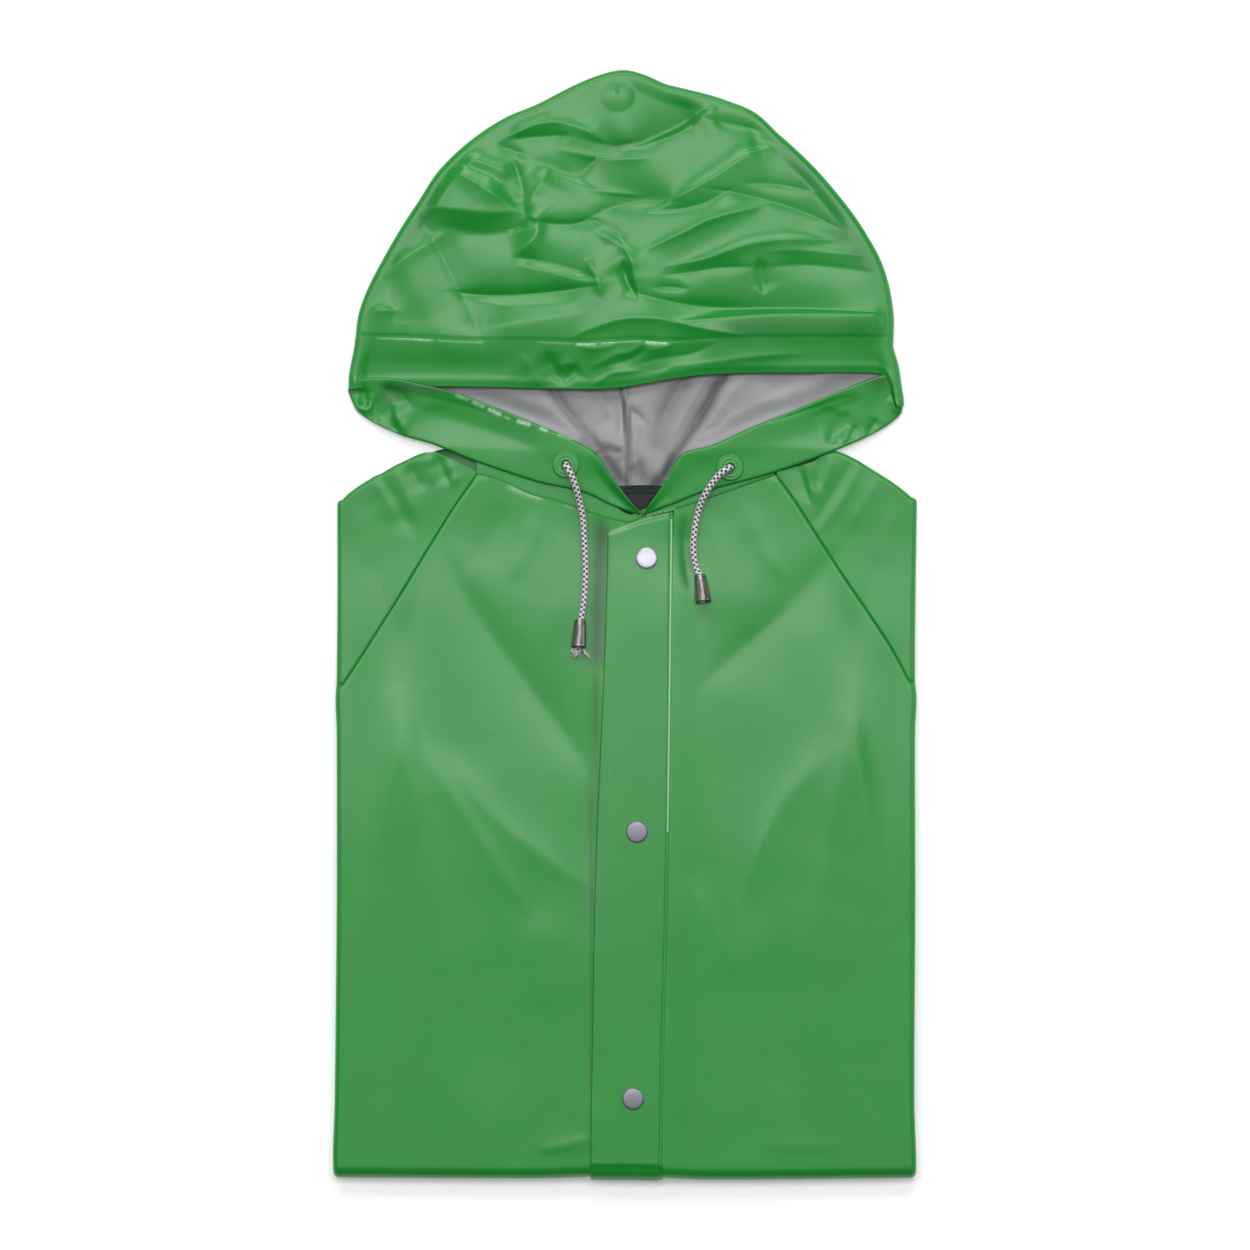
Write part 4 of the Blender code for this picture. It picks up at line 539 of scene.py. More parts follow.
def nearest_on_path(path, x, y):
    """Distance from each place to a path, its side (1 at the path's left) and how far along it is."""
    line = route_points(path, np.linspace(0.0, 1.0, 5 * len(path)))
    best = np.full(x.shape, np.inf)
    side = np.ones(x.shape)
    along = np.zeros(x.shape)
    for k, (a, b) in enumerate(zip(line, line[1:])):
        run = b - a
        t = np.clip(((x - a[0]) * run[0] + (y - a[1]) * run[1]) / (run @ run), 0.0, 1.0)
        off_x, off_y = x - a[0] - t * run[0], y - a[1] - t * run[1]
        away = np.hypot(off_x, off_y)
        nearer = away < best
        best = np.where(nearer, away, best)
        side = np.where(nearer, np.sign(run[0] * off_y - run[1] * off_x), side)
        along = np.where(nearer, (k + t) / (len(line) - 1), along)
    return best, side, along


def near_path(path, reach, x, y):
    """Which places lie within reach of a path's box."""
    low, high = np.min(path, axis=0) - reach, np.max(path, axis=0) + reach
    return (x > low[0]) & (x < high[0]) & (y > low[1]) & (y < high[1])


# How far a crease or a worn line reaches, in its own widths, and the shares of its length where it fades
CREASE_REACH = 7.0
CREASE_ENDS = (-0.05, 0.35)
CREASE_NARROWEST = 0.15
WEAR_REACH = 3.0
WEAR_ENDS = (0.0, 0.15)


def crease_relief(creases, x, y):
    """Height of all the creases at each place. Each dies out at both of its ends."""
    x, y = np.broadcast_arrays(x, y)
    total = np.zeros(x.shape)
    for crease in creases:
        reach = CREASE_REACH * max(crease.left, crease.right) + crease.soft
        near = near_path(crease.path, reach, x, y)
        away, side, along = nearest_on_path(crease.path, x[near], y[near])
        flank = np.where(side > 0, crease.left, crease.right)
        rounded = np.sqrt(away ** 2 + crease.soft ** 2) - crease.soft
        ends = fade(*CREASE_ENDS, along) * fade(*CREASE_ENDS, 1.0 - along)
        total[near] += crease.height * np.exp(-rounded / (flank * blend(CREASE_NARROWEST, 1.0, ends))) * ends
    return total


def wear_share(lines, points):
    """How strongly the lines mark each point, from 0 to 1."""
    x, y = points[..., 0], points[..., 1]
    total = np.zeros(x.shape)
    for line in lines:
        near = near_path(line.path, WEAR_REACH * line.width, x, y)
        away, _, along = nearest_on_path(line.path, x[near], y[near])
        ends = fade(*WEAR_ENDS, along) * fade(*WEAR_ENDS, 1.0 - along)
        total[near] = np.maximum(total[near], line.strength * bell_curve(away, 0.0, line.width) * ends)
    return total


# The folded body, the same wrap as the solids'

def side_edge(side, y):
    return follow([(edge.y, edge.left if side > 0 else edge.right) for edge in SIDE_EDGES], y)


def half_pack(y):
    return blend(PACK_HALF, NECK_HALF, fade(*NECK_FADE, y))


def pack_middle(y):
    return half_pack(y) + TURNED_UP * (1.0 - fade(HEM_Y - HEM_RUN, HEM_Y + HEM_RUN, y))


def bottom_bend(x):
    return follow(BOTTOM_EDGE, x) + 2.0 * PACK_HALF


def shoulder_bend(x):
    return follow(SHOULDER_EDGE, x) - SHOULDER_INSET


def pack_bulge(x, y):
    across = np.minimum(1.0, np.abs(x) / HALF_WIDTH)
    return PACK_FULLNESS * (1.0 - across ** 4) * (1.0 - fade(*FULL_BELOW_NECK, y))


def step_shift(x, y):
    """The turned-up lower half shows steeply at two places near the sides and spreads out between them."""
    near_side = bell_curve(np.abs(x), STEEP_X, STEEP_HALF)
    middle = blend(GENTLE_STEP[0], STEEP_STEP[0], near_side)
    run = blend(GENTLE_STEP[1], STEEP_STEP[1], near_side)
    return TURNED_UP * (fade(HEM_Y - HEM_RUN, HEM_Y + HEM_RUN, y) - fade(middle - run, middle + run, y))


def body_relief(x, y):
    """The body's and shoulders' creases, gone at the side folds, the bottom fold and the neck."""
    inside = fade(0.0, 0.014, HALF_WIDTH - np.abs(x))
    below_shoulder = 1.0 - fade(-0.006, 0.004, y - follow(SHOULDER_EDGE, x))
    above_fold = fade(0.0, 0.012, y - bottom_bend(x))
    relief = crease_relief(BODY_CREASES + SHOULDER_CREASES, x, y) + step_shift(x, y)
    return relief * inside * below_shoulder * above_fold


def across_body(side, x, y):
    return x * (side_edge(side, y) - half_pack(y)) / HALF_WIDTH


def body_points(side, x, y, lift, side_turn=0.0, bottom_turn=0.0, shoulder_turn=0.0):
    """Points of the body's outer wrap, raised by lift and turned over its side, bottom or shoulder."""
    radius = half_pack(y) + lift * (1.0 - fade(0.0, pi / 2.0, bottom_turn))
    level = radius * np.cos(side_turn)
    place_x = across_body(side, x, y) + side * radius * np.sin(side_turn)
    reach = PACK_HALF + level
    round_bottom = bottom_turn > 0
    place_y = np.where(round_bottom, y - reach * np.sin(bottom_turn), y + level * np.sin(shoulder_turn))
    place_z = np.where(round_bottom, TURNED_UP + reach * np.cos(bottom_turn),
                       pack_middle(y) + level * np.cos(shoulder_turn))
    return stacked(place_x, place_y, place_z)


def body_top(x, y):
    return pack_middle(y) + half_pack(y) + pack_bulge(x, y) + body_relief(x, y)


def neck_seam(x):
    return follow(NECK_SEAM, x)


def fly_free(y):
    return follow([(edge.y, edge.free) for edge in FLY_EDGES], y)


def fly_sewn(y):
    return follow([(edge.y, edge.sewn) for edge in FLY_EDGES], y)


# The hood

def hub_bearing(x, y):
    angle = np.degrees(np.arctan2(y - HOOD_HUB.y, x - HOOD_HUB.x))
    return np.where(angle < -90.0, angle + 360.0, angle)


def hub_distance(x, y):
    return np.hypot(x - HOOD_HUB.x, y - HOOD_HUB.y)


OUTLINE_FROM_HUB = [(float(hub_bearing(*at)), float(hub_distance(*at))) for at in reversed(HOOD_OUTLINE)]


def rim_points(bearing, inset):
    """Points on the hood's outline, moved in by inset, and the outward directions there."""
    def outline(at):
        reach, angle = follow(OUTLINE_FROM_HUB, at), np.radians(at)
        return stacked(HOOD_HUB.x + reach * np.cos(angle), HOOD_HUB.y + reach * np.sin(angle))

    run = outline(bearing + 1.5) - outline(bearing - 1.5)
    outward = stacked(run[..., 1], -run[..., 0])
    outward /= np.linalg.norm(outward, axis=-1, keepdims=True)
    return outline(bearing) - inset * outward, outward


def rim_bearing(side, y):
    """Bearing at which the hood's rim, moved in to where its roll starts, reaches a given y."""
    near, far = 90.0, (-20.0 if side > 0 else 200.0)
    for _ in range(24):
        middle = (near + far) / 2.0
        rim = rim_points(np.array(middle), RIM_HALF)[0]
        near, far = (middle, far) if rim[1] > y else (near, middle)
    return (near + far) / 2.0


def apex_bump(x, y):
    """Small round pucker where the hood's seams meet under its top."""
    away = np.hypot(x - APEX.x, y - APEX.y)
    bump = APEX_BUMP_HEIGHT * np.maximum(0.0, 1.0 - (away / APEX_BUMP_RADIUS) ** 2)
    seam = APEX_GROOVE * bell_curve(x, APEX.x, 0.0007) * fade(APEX.y - 0.001, APEX.y + 0.002, y)
    return bump - seam


def crown_top(x, y):
    """Height of the outer face of the hood's top, with its creases."""
    share = np.minimum(1.0, hub_distance(x, y) / (follow(OUTLINE_FROM_HUB, hub_bearing(x, y)) - RIM_HALF))
    inside = fade(0.0, 0.05, 1.0 - share)
    dome = DOME_RISE * (1.0 - share ** DOME_POWER)
    relief = crease_relief(CROWN_CREASES + CASING_CREASES, x, y) + apex_bump(x, y)
    droop = BRIM_DROOP * (1.0 - fade(*BRIM_DROOP_Y, y))
    return 2.0 * RIM_HALF + dome + (relief - droop) * inside


def hood_back_bottom(x, y):
    beyond = y - follow(SHOULDER_EDGE, x)
    return (2.0 * NECK_HALF - BACK_WALL) * (1.0 - fade(*BACK_CLIMB, beyond))


def casing_upper(x):
    return np.where(x < 0.011, follow(sorted(CASING_UPPER_RIGHT), x), follow(CASING_UPPER_LEFT, x))


def lining_top(x, y):
    """Height of the hood back's inner face, with folds only where the face opening shows them."""
    shown = fade(0.002, 0.014, y - casing_upper(x))
    before_brim = 1.0 - fade(0.178, 0.196, y)
    relief = crease_relief(LINING_CREASES, x, y) + LINING_FULLNESS
    seam_away = x - follow([(point.y, point.x) for point in BACK_SEAM], y)
    seam = 0.0010 * bell_curve(seam_away, 0.0, 0.0011) - 0.0008 * bell_curve(seam_away, 0.0020, 0.0008)
    return hood_back_bottom(x, y) + BACK_WALL + np.maximum(0.0, relief * before_brim + seam) * shown


# Meshes

def new_mesh(name, corners, faces, **shares):
    """Mesh with these corners and faces, and with one number at each corner for each named share."""
    mesh = bpy.data.meshes.new(name)
    mesh.from_pydata(np.reshape(corners, (-1, 3)).tolist(), [], faces)
    for share, values in shares.items():
        data = mesh.attributes.new(share, "FLOAT", "POINT").data
        data.foreach_set("value", np.reshape(values, -1).astype(np.float32))
    return mesh


def new_piece(name, mesh, *materials):
    for material in materials:
        mesh.materials.append(material)
    mesh.shade_smooth()
    piece = bpy.data.objects.new(name, mesh)
    bpy.context.scene.collection.objects.link(piece)
    return piece


def finish_piece(piece, slot, *nodes):
    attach(piece, "root")
    if nodes:
        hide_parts(*nodes)
    return piece


def grid_faces(rows, columns, closed=False):
    """Corner numbers of a grid's quads, joined from its last column to its first where it is closed."""
    corners = np.arange(rows * columns).reshape(rows, columns)
    if closed:
        corners = np.concatenate([corners, corners[:, :1]], axis=1)
    quads = np.stack([corners[:-1, :-1], corners[:-1, 1:], corners[1:, 1:], corners[1:, :-1]], axis=-1)
    return quads.reshape(-1, 4)


def tube_faces(rings, sides, first=0):
    """Corner numbers of the faces of a tube of rings, with a flat end at each of its ends."""
    last = first + (rings - 1) * sides
    ends = [[first + j for j in range(sides)], [last + j for j in reversed(range(sides))]]
    return (grid_faces(rings, sides, closed=True) + first).tolist() + ends


def grid_spans(points):
    """Longest run across the grid's rows and along its columns."""
    across = np.linalg.norm(np.diff(points, axis=1), axis=-1).sum(axis=1).max()
    along = np.linalg.norm(np.diff(points, axis=0), axis=-1).sum(axis=0).max()
    return float(across), float(along)


def declare_sheet(piece, points, held, *rests_on, flat=None):
    """Works out a cloth piece's flat size, or the longest runs of its grid, and does nothing more with it."""
    flat = flat or grid_spans(points)


def mark_border_sharp(mesh):
    """Keeps the wall that Solidify adds at an open edge from bending the face's shading there."""
    uses = np.zeros(len(mesh.edges), int)
    edge_numbers = np.empty(len(mesh.loops), int)
    mesh.loops.foreach_get("edge_index", edge_numbers)
    np.add.at(uses, edge_numbers, 1)
    mesh.attributes.new("sharp_edge", "BOOLEAN", "EDGE").data.foreach_set("value", uses == 1)


def grid_mesh(name, points, keep=None, **shares):
    """Mesh of a grid of points, its faces turned so that the middle of the grid faces up."""
    rows, columns = points.shape[:2]
    i, j = rows // 2, columns // 2
    facing = np.cross(points[i, j + 1] - points[i, j], points[i + 1, j] - points[i, j])
    faces = grid_faces(rows, columns)
    if facing[2] < 0:
        faces = faces[:, ::-1]
    if keep is not None:
        faces = faces[keep.reshape(-1)]
    mesh = new_mesh(name, points, faces.tolist(), **shares)
    mark_border_sharp(mesh)
    return mesh


def add_wall(piece, thickness):
    """Gives a surface its thickness, below its outer face."""
    wall = piece.modifiers.new("Wall", "SOLIDIFY")
    wall.thickness = thickness
    wall.offset = -1.0
    return wall


def add_cloth(node, points, held, *rests_on, outer, inner=None, slot="coated_green", thickness=CLOTH,
              flat=None, keep=None, **shares):
    """Cloth in place of a node. The grid is its outer face, and the inner one goes below."""
    name = node + "_cloth"
    piece = new_piece(name, grid_mesh(name, points, keep, **shares), outer, inner or outer)
    add_wall(piece, thickness).material_offset = 1
    finish_piece(piece, slot, node)
    declare_sheet(piece, points, held, *rests_on, flat=flat)


def add_turned(name, profile, steps, material, place, aim):
    """Turned piece: a profile of (radius, height) pairs about an axis."""
    radius, height = np.array(profile).T[:, :, None]
    turns = np.linspace(0.0, 2.0 * pi, steps, endpoint=False)
    points = stacked(radius * np.cos(turns), radius * np.sin(turns), height)
    faces = grid_faces(len(profile), steps, closed=True)[:, ::-1].tolist()
    piece = new_piece(name, new_mesh(name, points, faces), material)
    piece.location = place
    piece.rotation_euler = aim.to_track_quat("Z", "Y").to_euler()
    return piece


# Materials

class Finish:
    """A Principled material, and the nodes that vary it over the surface."""

    def __init__(self, name, colour, roughness, metallic=0.0):
        self.material = bpy.data.materials.new(name)
        self.material.use_nodes = True
        self.nodes = self.material.node_tree.nodes
        self.shader = self.nodes["Principled BSDF"].inputs
        self.put(self.shader["Base Color"], (*colour, 1.0))
        self.put(self.shader["Roughness"], roughness)
        self.put(self.shader["Metallic"], metallic)

    def put(self, socket, value):
        """Links another node's output to a socket, or sets the socket to a value."""
        if isinstance(value, bpy.types.NodeSocket):
            self.material.node_tree.links.new(value, socket)
        else:
            socket.default_value = value

    def node(self, kind, inputs):
        node = self.nodes.new("ShaderNode" + kind)
        for name, value in inputs.items():
            self.put(node.inputs[name], value)
        return node

    def noise(self, scale, detail, stretch=(1.0, 1.0, 1.0)):
        place = self.node("TexCoord", {}).outputs["Object"]
        place = self.node("Mapping", {"Vector": place, "Scale": stretch}).outputs["Vector"]
        return self.node("TexNoise", {"Vector": place, "Scale": scale, "Detail": detail}).outputs["Fac"]

    def ranged(self, source, low, high, to_low=0.0, to_high=1.0):
        limits = {"From Min": low, "From Max": high, "To Min": to_low, "To Max": to_high}
        return self.node("MapRange", {"Value": source, **limits}).outputs["Result"]

    def share(self, name):
        """The number that the mesh holds at each corner under this name."""
        node = self.node("Attribute", {})
        node.attribute_name = name
        return node.outputs["Fac"]

    def mixed(self, share, first, second):
        """Mix of two colours, each a tuple or a socket."""
        node = self.node("Mix", {})
        node.data_type = "RGBA"
        self.put(node.inputs["Factor"], share)
        for name, colour in (("A", first), ("B", second)):
            target = [s for s in node.inputs if s.name == name and s.type == "RGBA"][0]
            self.put(target, (*colour, 1.0) if isinstance(colour, tuple) else colour)
        return [s for s in node.outputs if s.type == "RGBA"][0]

    def with_painted_shade(self, colour, share, darkest):
        """Paints shade into a colour, darker where the mesh marks a fold or the brim's shadow."""
        return self.mixed(self.ranged(self.share("deep"), 0.0, 1.0, 0.0, share), colour, darkest)

    def bump(self, source, distance, strength):
        bump = self.node("Bump", {"Height": source, "Distance": distance, "Strength": strength})
        if self.shader["Normal"].is_linked:
            self.put(bump.inputs["Normal"], self.shader["Normal"].links[0].from_socket)
        self.put(self.shader["Normal"], bump.outputs["Normal"])


def coated_green_material():
    """Green waterproof coating: satin, finely grained and pale where it is stretched, with painted shade in
    its folds and a painted highlight on the fly's top edge.
    """
    base, deep, pale = (0.013, 0.262, 0.031), (0.011, 0.243, 0.027), (0.62, 0.86, 0.66)
    green = Finish("coated_green", base, 0.38)
    tone = green.mixed(green.ranged(green.noise(18.0, 3.0), 0.3, 0.7), base, deep)
    # Painted shade: the colour goes darker where the mesh marks folds and the brim's shadow.
    tone = green.with_painted_shade(tone, 0.85, (0.003, 0.060, 0.010))
    broken = green.node("Math", {})
    broken.operation = "MULTIPLY"
    # Pale mix: pale stretched marks at seams and welds, and a painted highlight along the fly's top edge.
    green.put(broken.inputs[0], green.share("wear"))
    green.put(broken.inputs[1], green.ranged(green.noise(900.0, 2.0), 0.35, 0.6, 0.35))
    green.put(green.shader["Base Color"], green.mixed(broken.outputs["Value"], tone, pale))
    green.put(green.shader["Roughness"], green.ranged(green.noise(60.0, 4.0), 0.3, 0.7, 0.27, 0.33))
    green.bump(green.noise(2200.0, 3.0), 0.00003, 0.35)
    green.bump(green.noise(160.0, 2.0), 0.00004, 0.25)
    return green.material


def lining_material():
    """Smooth grey inner face with a fine knit, and painted shade in its folds and under the brim."""
    base, deep = (0.300, 0.300, 0.312), (0.270, 0.270, 0.284)
    grey = Finish("lining_grey", base, 0.42)
    tone = grey.mixed(grey.ranged(grey.noise(25.0, 3.0), 0.3, 0.7), base, deep)
    # Painted shade: the grey goes darker in the lining's folds and under the brim.
    grey.put(grey.shader["Base Color"], grey.with_painted_shade(tone, 0.84, (0.034, 0.034, 0.038)))
    grey.bump(grey.noise(2600.0, 1.0, (1.0, 2.0, 1.0)), 0.00004, 0.4)
    return grey.material


def tape_material():
    """Matt black tape, woven across."""
    tape = Finish("tape_black", (0.012, 0.012, 0.013), 0.75)
    tape.bump(tape.noise(1500.0, 1.0, (3.0, 1.0, 1.0)), 0.0001, 0.8)
    return tape.material


def cord_material():
    """Pale braid with painted shade in the gaps between its strands and a dark purple fleck where its strands
    cross.
    """
    cord = Finish("cord_grey", (0.60, 0.56, 0.60), 0.75)
    # Painted shade: the yarn's colour goes dark where the braid dips between its strands.
    raised = cord.ranged(cord.share("braid_height"), 0.1, 0.7)
    yarn = cord.mixed(raised, (0.19, 0.17, 0.20), (0.70, 0.67, 0.70))
    fleck = cord.ranged(cord.share("braid_fleck"), 0.15, 0.45)
    cord.put(cord.shader["Base Color"], cord.mixed(fleck, yarn, (0.035, 0.02, 0.07)))
    cord.put(cord.shader["Sheen Weight"], 0.15)
    cord.bump(cord.noise(4000.0, 2.0), 0.00008, 0.6)
    return cord.material


def bell_material():
    """Gun-metal plating with fine lengthwise brushing."""
    bell = Finish("bell_metal", (0.20, 0.18, 0.175), 0.32, 0.9)
    brushed = bell.noise(900.0, 3.0, (1.0, 1.0, 0.06))
    bell.put(bell.shader["Roughness"], bell.ranged(brushed, 0.3, 0.7, 0.22, 0.42))
    bell.put(bell.shader["Base Color"], bell.mixed(brushed, (0.17, 0.15, 0.15), (0.31, 0.29, 0.28)))
    return bell.material


def snap_material(name, dark, pale):
    """Pale satin metal with a faint turned grain and small scuffs."""
    snap = Finish(name, pale, 0.42, 0.55)
    scuffed = snap.noise(700.0, 5.0)
    snap.put(snap.shader["Roughness"], snap.ranged(scuffed, 0.3, 0.7, 0.30, 0.46))
    snap.put(snap.shader["Base Color"], snap.mixed(scuffed, dark, pale))
    return snap.material


def thread_material(name, colour):
    """Spun thread with a fine twist."""
    thread = Finish(name, colour, 0.5)
    thread.bump(thread.noise(5000.0, 1.0), 0.00005, 0.5)
    return thread.material


green = coated_green_material()
grey = lining_material()
black = tape_material()
braid = cord_material()
gun_metal = bell_material()
pale_metal = snap_material("snap_metal", (0.17, 0.17, 0.20), (0.25, 0.25, 0.29))
# Paler copy of the snap metal for the top snap: a painted highlight where it catches the light.
painted_highlight_metal = snap_material("snap_painted_highlight", (0.34, 0.33, 0.39), (0.50, 0.49, 0.56))
thread = thread_material("stitch_green", (0.05, 0.36, 0.08))
mid_thread = thread_material("stitch_mid", (0.24, 0.56, 0.27))
pale_thread = thread_material("stitch_pale", (0.66, 0.88, 0.66))

# Camera: straight above, with a long lens

FRAME_WIDTH = 0.815
CAMERA_HEIGHT = 8.0
SENSOR_WIDTH = 0.036


def add_camera():
    data = bpy.data.cameras.new("camera")
    data.sensor_width = 1000.0 * SENSOR_WIDTH
    data.lens = 1000.0 * SENSOR_WIDTH * CAMERA_HEIGHT / FRAME_WIDTH
    camera = bpy.data.objects.new("camera", data)
    camera.location = (0.0, 0.0, CAMERA_HEIGHT)
    bpy.context.scene.collection.objects.link(camera)
    bpy.context.scene.camera = camera


add_camera()

# Cords, braided, with their bells

BRAID_STRANDS = 3
BRAID_PITCH = 0.0100
BRAID_LOW = 0.90
BRAID_RISE = 0.12
STRAND_ROUNDNESS = 0.8
FLECK_WIDTH = 0.30
NEARLY_VERTICAL = 0.3
CORD_RING = 36
CORD_STEP = 0.0003
BELL_LENGTH = 0.0180
BELL_TOP_RADIUS = 0.0037
BELL_MOUTH_RADIUS = 0.0049
BELL_WALL = 0.0006
BELL_OVERLAP = 0.0010
BELL_CLEAR = 0.0006
TUFT_RADIUS = 0.00065
TUFT_WAVE = 0.0006
TUFT_START = 0.0015
TUFT_CLEAR = 0.0009


def add_cord(name, route):
    """Mesh tube whose surface is a braid: strands wind both ways and pass over and under each other."""
    length = float(np.linalg.norm(np.diff(np.array(route), axis=0), axis=1).sum())
    t = np.linspace(0.0, 1.0, round(length / CORD_STEP))
    centre = route_points(route, t)
    tangent = np.gradient(centre, axis=0)
    tangent /= np.linalg.norm(tangent, axis=1, keepdims=True)
    side = np.cross(tangent, (0.0, 0.0, 1.0))
    near_vertical = np.linalg.norm(side, axis=1) < NEARLY_VERTICAL
    side[near_vertical] = side[np.argmin(near_vertical)]
    side /= np.linalg.norm(side, axis=1, keepdims=True)
    over = np.cross(side, tangent)
    around = np.linspace(0.0, 1.0, CORD_RING, endpoint=False)[None, :]
    along = (t * length / BRAID_PITCH)[:, None]
    first = BRAID_STRANDS * (around + along)
    second = BRAID_STRANDS * (around - along)
    first_on_top = (np.floor(first) + np.floor(second)) % 2 < 1
    across = np.where(first_on_top, first, second) % 1.0
    height = np.abs(np.sin(pi * across)) ** STRAND_ROUNDNESS
    second_across = np.where(first_on_top, second, first) % 1.0
    from_crossing = np.hypot(0.5 - np.abs(across - 0.5), 0.5 - np.abs(second_across - 0.5))
    fleck = bell_curve(from_crossing, 0.0, FLECK_WIDTH)
    radius = CORD_DIAMETER / 2.0 * (BRAID_LOW + BRAID_RISE * height)
    turn = 2.0 * pi * around
    outward = np.cos(turn)[..., None] * side[:, None] + np.sin(turn)[..., None] * over[:, None]
    points = centre[:, None] + radius[..., None] * outward
    rows, columns = points.shape[:2]
    corners = np.concatenate([points.reshape(-1, 3), centre[[0, -1]]])
    first_cap, last_cap, last_row = rows * columns, rows * columns + 1, (rows - 1) * columns
    faces = grid_faces(rows, columns, closed=True).tolist()
    faces += [(first_cap, (j + 1) % columns, j) for j in range(columns)]
    faces += [(last_cap, last_row + j, last_row + (j + 1) % columns) for j in range(columns)]
    caps = np.zeros(2)
    mesh = new_mesh(name, corners, faces, braid_height=np.append(height, caps),
                    braid_fleck=np.append(fleck, caps))
    return new_piece(name, mesh, braid), centre[::4], length


def add_bell(name, route, mouth):
    """Tapered metal cord end: a thin shell with a rolled rim at each end."""
    throat = BELL_TOP_RADIUS - BELL_WALL
    inner_mouth = BELL_MOUTH_RADIUS - BELL_WALL
    profile = [
        (CORD_DIAMETER / 2.0, -0.0030),
        (CORD_DIAMETER / 2.0 + 0.0001, -0.0012),
        (throat - 0.0002, -0.0010),
        (throat, -0.0004),
        (throat + 0.0002, 0.0),
        (BELL_TOP_RADIUS - 0.0002, 0.0),
        (BELL_TOP_RADIUS, -0.0003),
        (BELL_TOP_RADIUS + 0.00005, -0.0012),
        (BELL_TOP_RADIUS - 0.0001, -0.0015),
        (BELL_TOP_RADIUS + 0.00008, -0.0018),
    ]
    for share in np.linspace(0.2, 1.0, 8):
        depth = BELL_LENGTH * share - BELL_WALL * (share == 1.0)
        profile.append((blend(BELL_TOP_RADIUS, BELL_MOUTH_RADIUS, share), -depth))
    profile += [
        (BELL_MOUTH_RADIUS - 0.0001, -BELL_LENGTH),
        (inner_mouth + 0.0001, -BELL_LENGTH),
        (inner_mouth, -BELL_LENGTH + 0.0004),
        (throat + 0.0004, -0.0060),
        (0.0, -0.0050),
    ]
    end = Vector(route[-1])
    top = float(body_top(np.array(mouth.x), np.array(mouth.y)))
    rest = Vector((mouth.x, mouth.y, top + BELL_MOUTH_RADIUS + BELL_CLEAR))
    aim = (end - rest).normalized()
    return add_turned(name, profile, 64, gun_metal, end + aim * BELL_OVERLAP, aim)


def add_tufts(name, mouth, strands):
    """Frayed cord end below a bell: short bent yarns that fan out on the cloth."""
    corners, faces = [], []
    ring = np.linspace(0.0, 2.0 * pi, 7)[:-1]
    for start_x, spread, length, lift in strands:
        t = np.linspace(0.0, 1.0, 8)
        x = mouth.x + start_x + spread * t + TUFT_WAVE * np.sin(6.0 * t + 900.0 * start_x)
        y = mouth.y + TUFT_START - length * t
        z = body_top(x, y) + TUFT_CLEAR + lift * np.sin(pi * t)
        radius = TUFT_RADIUS * (1.0 - 0.5 * t ** 3)
        for k in range(len(t)):
            for angle in ring:
                corners.append((x[k] + radius[k] * cos(angle), y[k], z[k] + radius[k] * sin(angle)))
        faces += tube_faces(len(t), len(ring), len(corners) - len(t) * len(ring))
    spots = np.array(corners)
    flecked = np.sin(5200.0 * spots[:, 0]) * np.sin(5200.0 * spots[:, 1]) > 0.45
    mesh = new_mesh(name, corners, faces, braid_height=np.ones(len(spots)), braid_fleck=0.8 * flecked)
    return new_piece(name, mesh, braid)


Tuft = namedtuple("Tuft", "start spread length lift")
TUFTS = table(
    Tuft,
    (-0.0034, -0.0012, 0.0046, 0.0008),
    (-0.0028, -0.001, 0.0058, 0.0022),
    (-0.0021, -0.0006, 0.0064, 0.0012),
    (-0.0014, 0.0, 0.0066, 0.003),
    (-0.0008, 0.0004, 0.0062, 0.002),
    (-0.0002, 0.0008, 0.0054, 0.0016),
    (0.0004, 0.001, 0.0044, 0.001),
    (0.0026, 0.003, 0.0062, 0.001),
    (0.0032, 0.0036, 0.007, 0.0014),
    (0.0037, 0.0036, 0.0062, 0.0008),
)


def add_cords():
    ends = (("right", CORD_RIGHT_ROUTE, BELL_RIGHT_MOUTH), ("left", CORD_LEFT_ROUTE, BELL_LEFT_MOUTH))
    for side, route, mouth in ends:
        cord, path, length = add_cord("braided_cord_" + side, route)
        finish_piece(cord, "cord_grey", "drawcord_" + side)
        bell = finish_piece(add_bell("bell_" + side, route, mouth), "bell_metal", "cord_end_" + side)
        if side == "right":
            finish_piece(add_tufts("frayed_end", mouth, TUFTS), "cord_grey")


add_cords()

# The body's panels

Half = namedtuple("Half", "side raglan neck_x sleeve_neck front_start")
HALVES = {
    "right": Half(-1, RAGLAN_RIGHT, RAGLAN_RIGHT[-1].x, SLEEVE_NECK_RIGHT, FRONTS_MEET_X),
    "left": Half(1, RAGLAN_LEFT, RAGLAN_LEFT[0].x, SLEEVE_NECK_LEFT, 0.0),
}
SIDE_STEPS = 15
BOTTOM_STEPS = 22
SHOULDER_STEPS = 10
NECK_COLUMNS = 44
SIDE_COLUMNS = 38
FRONT_ROWS = 190
SLEEVE_COLUMNS = 60
SLEEVE_ROWS = 92
FLY_ROWS = 215
FLY_WRAP = radians(150)
FLY_PUFF = 0.0007
FLY_BEVEL = 0.0010


def panel_columns(side, flat):
    """A body panel's columns: its flat places, then the turns round its side fold."""
    turns = np.linspace(0.0, SIDE_WRAP, SIDE_STEPS)[1:]
    x = np.concatenate([flat, np.full(len(turns), side * HALF_WIDTH)])
    return x[None, :], np.concatenate([np.zeros(len(flat)), turns])[None, :]


def bottom_rows(wrap, steps):
    """Shares up a panel and turns round the bottom fold, as two columns."""
    turns = np.linspace(wrap, 0.0, BOTTOM_STEPS)[:-1]
    share = np.concatenate([np.zeros(len(turns)), np.linspace(0.0, 1.0, steps)])
    return share[:, None], np.concatenate([turns, np.zeros(steps)])[:, None]


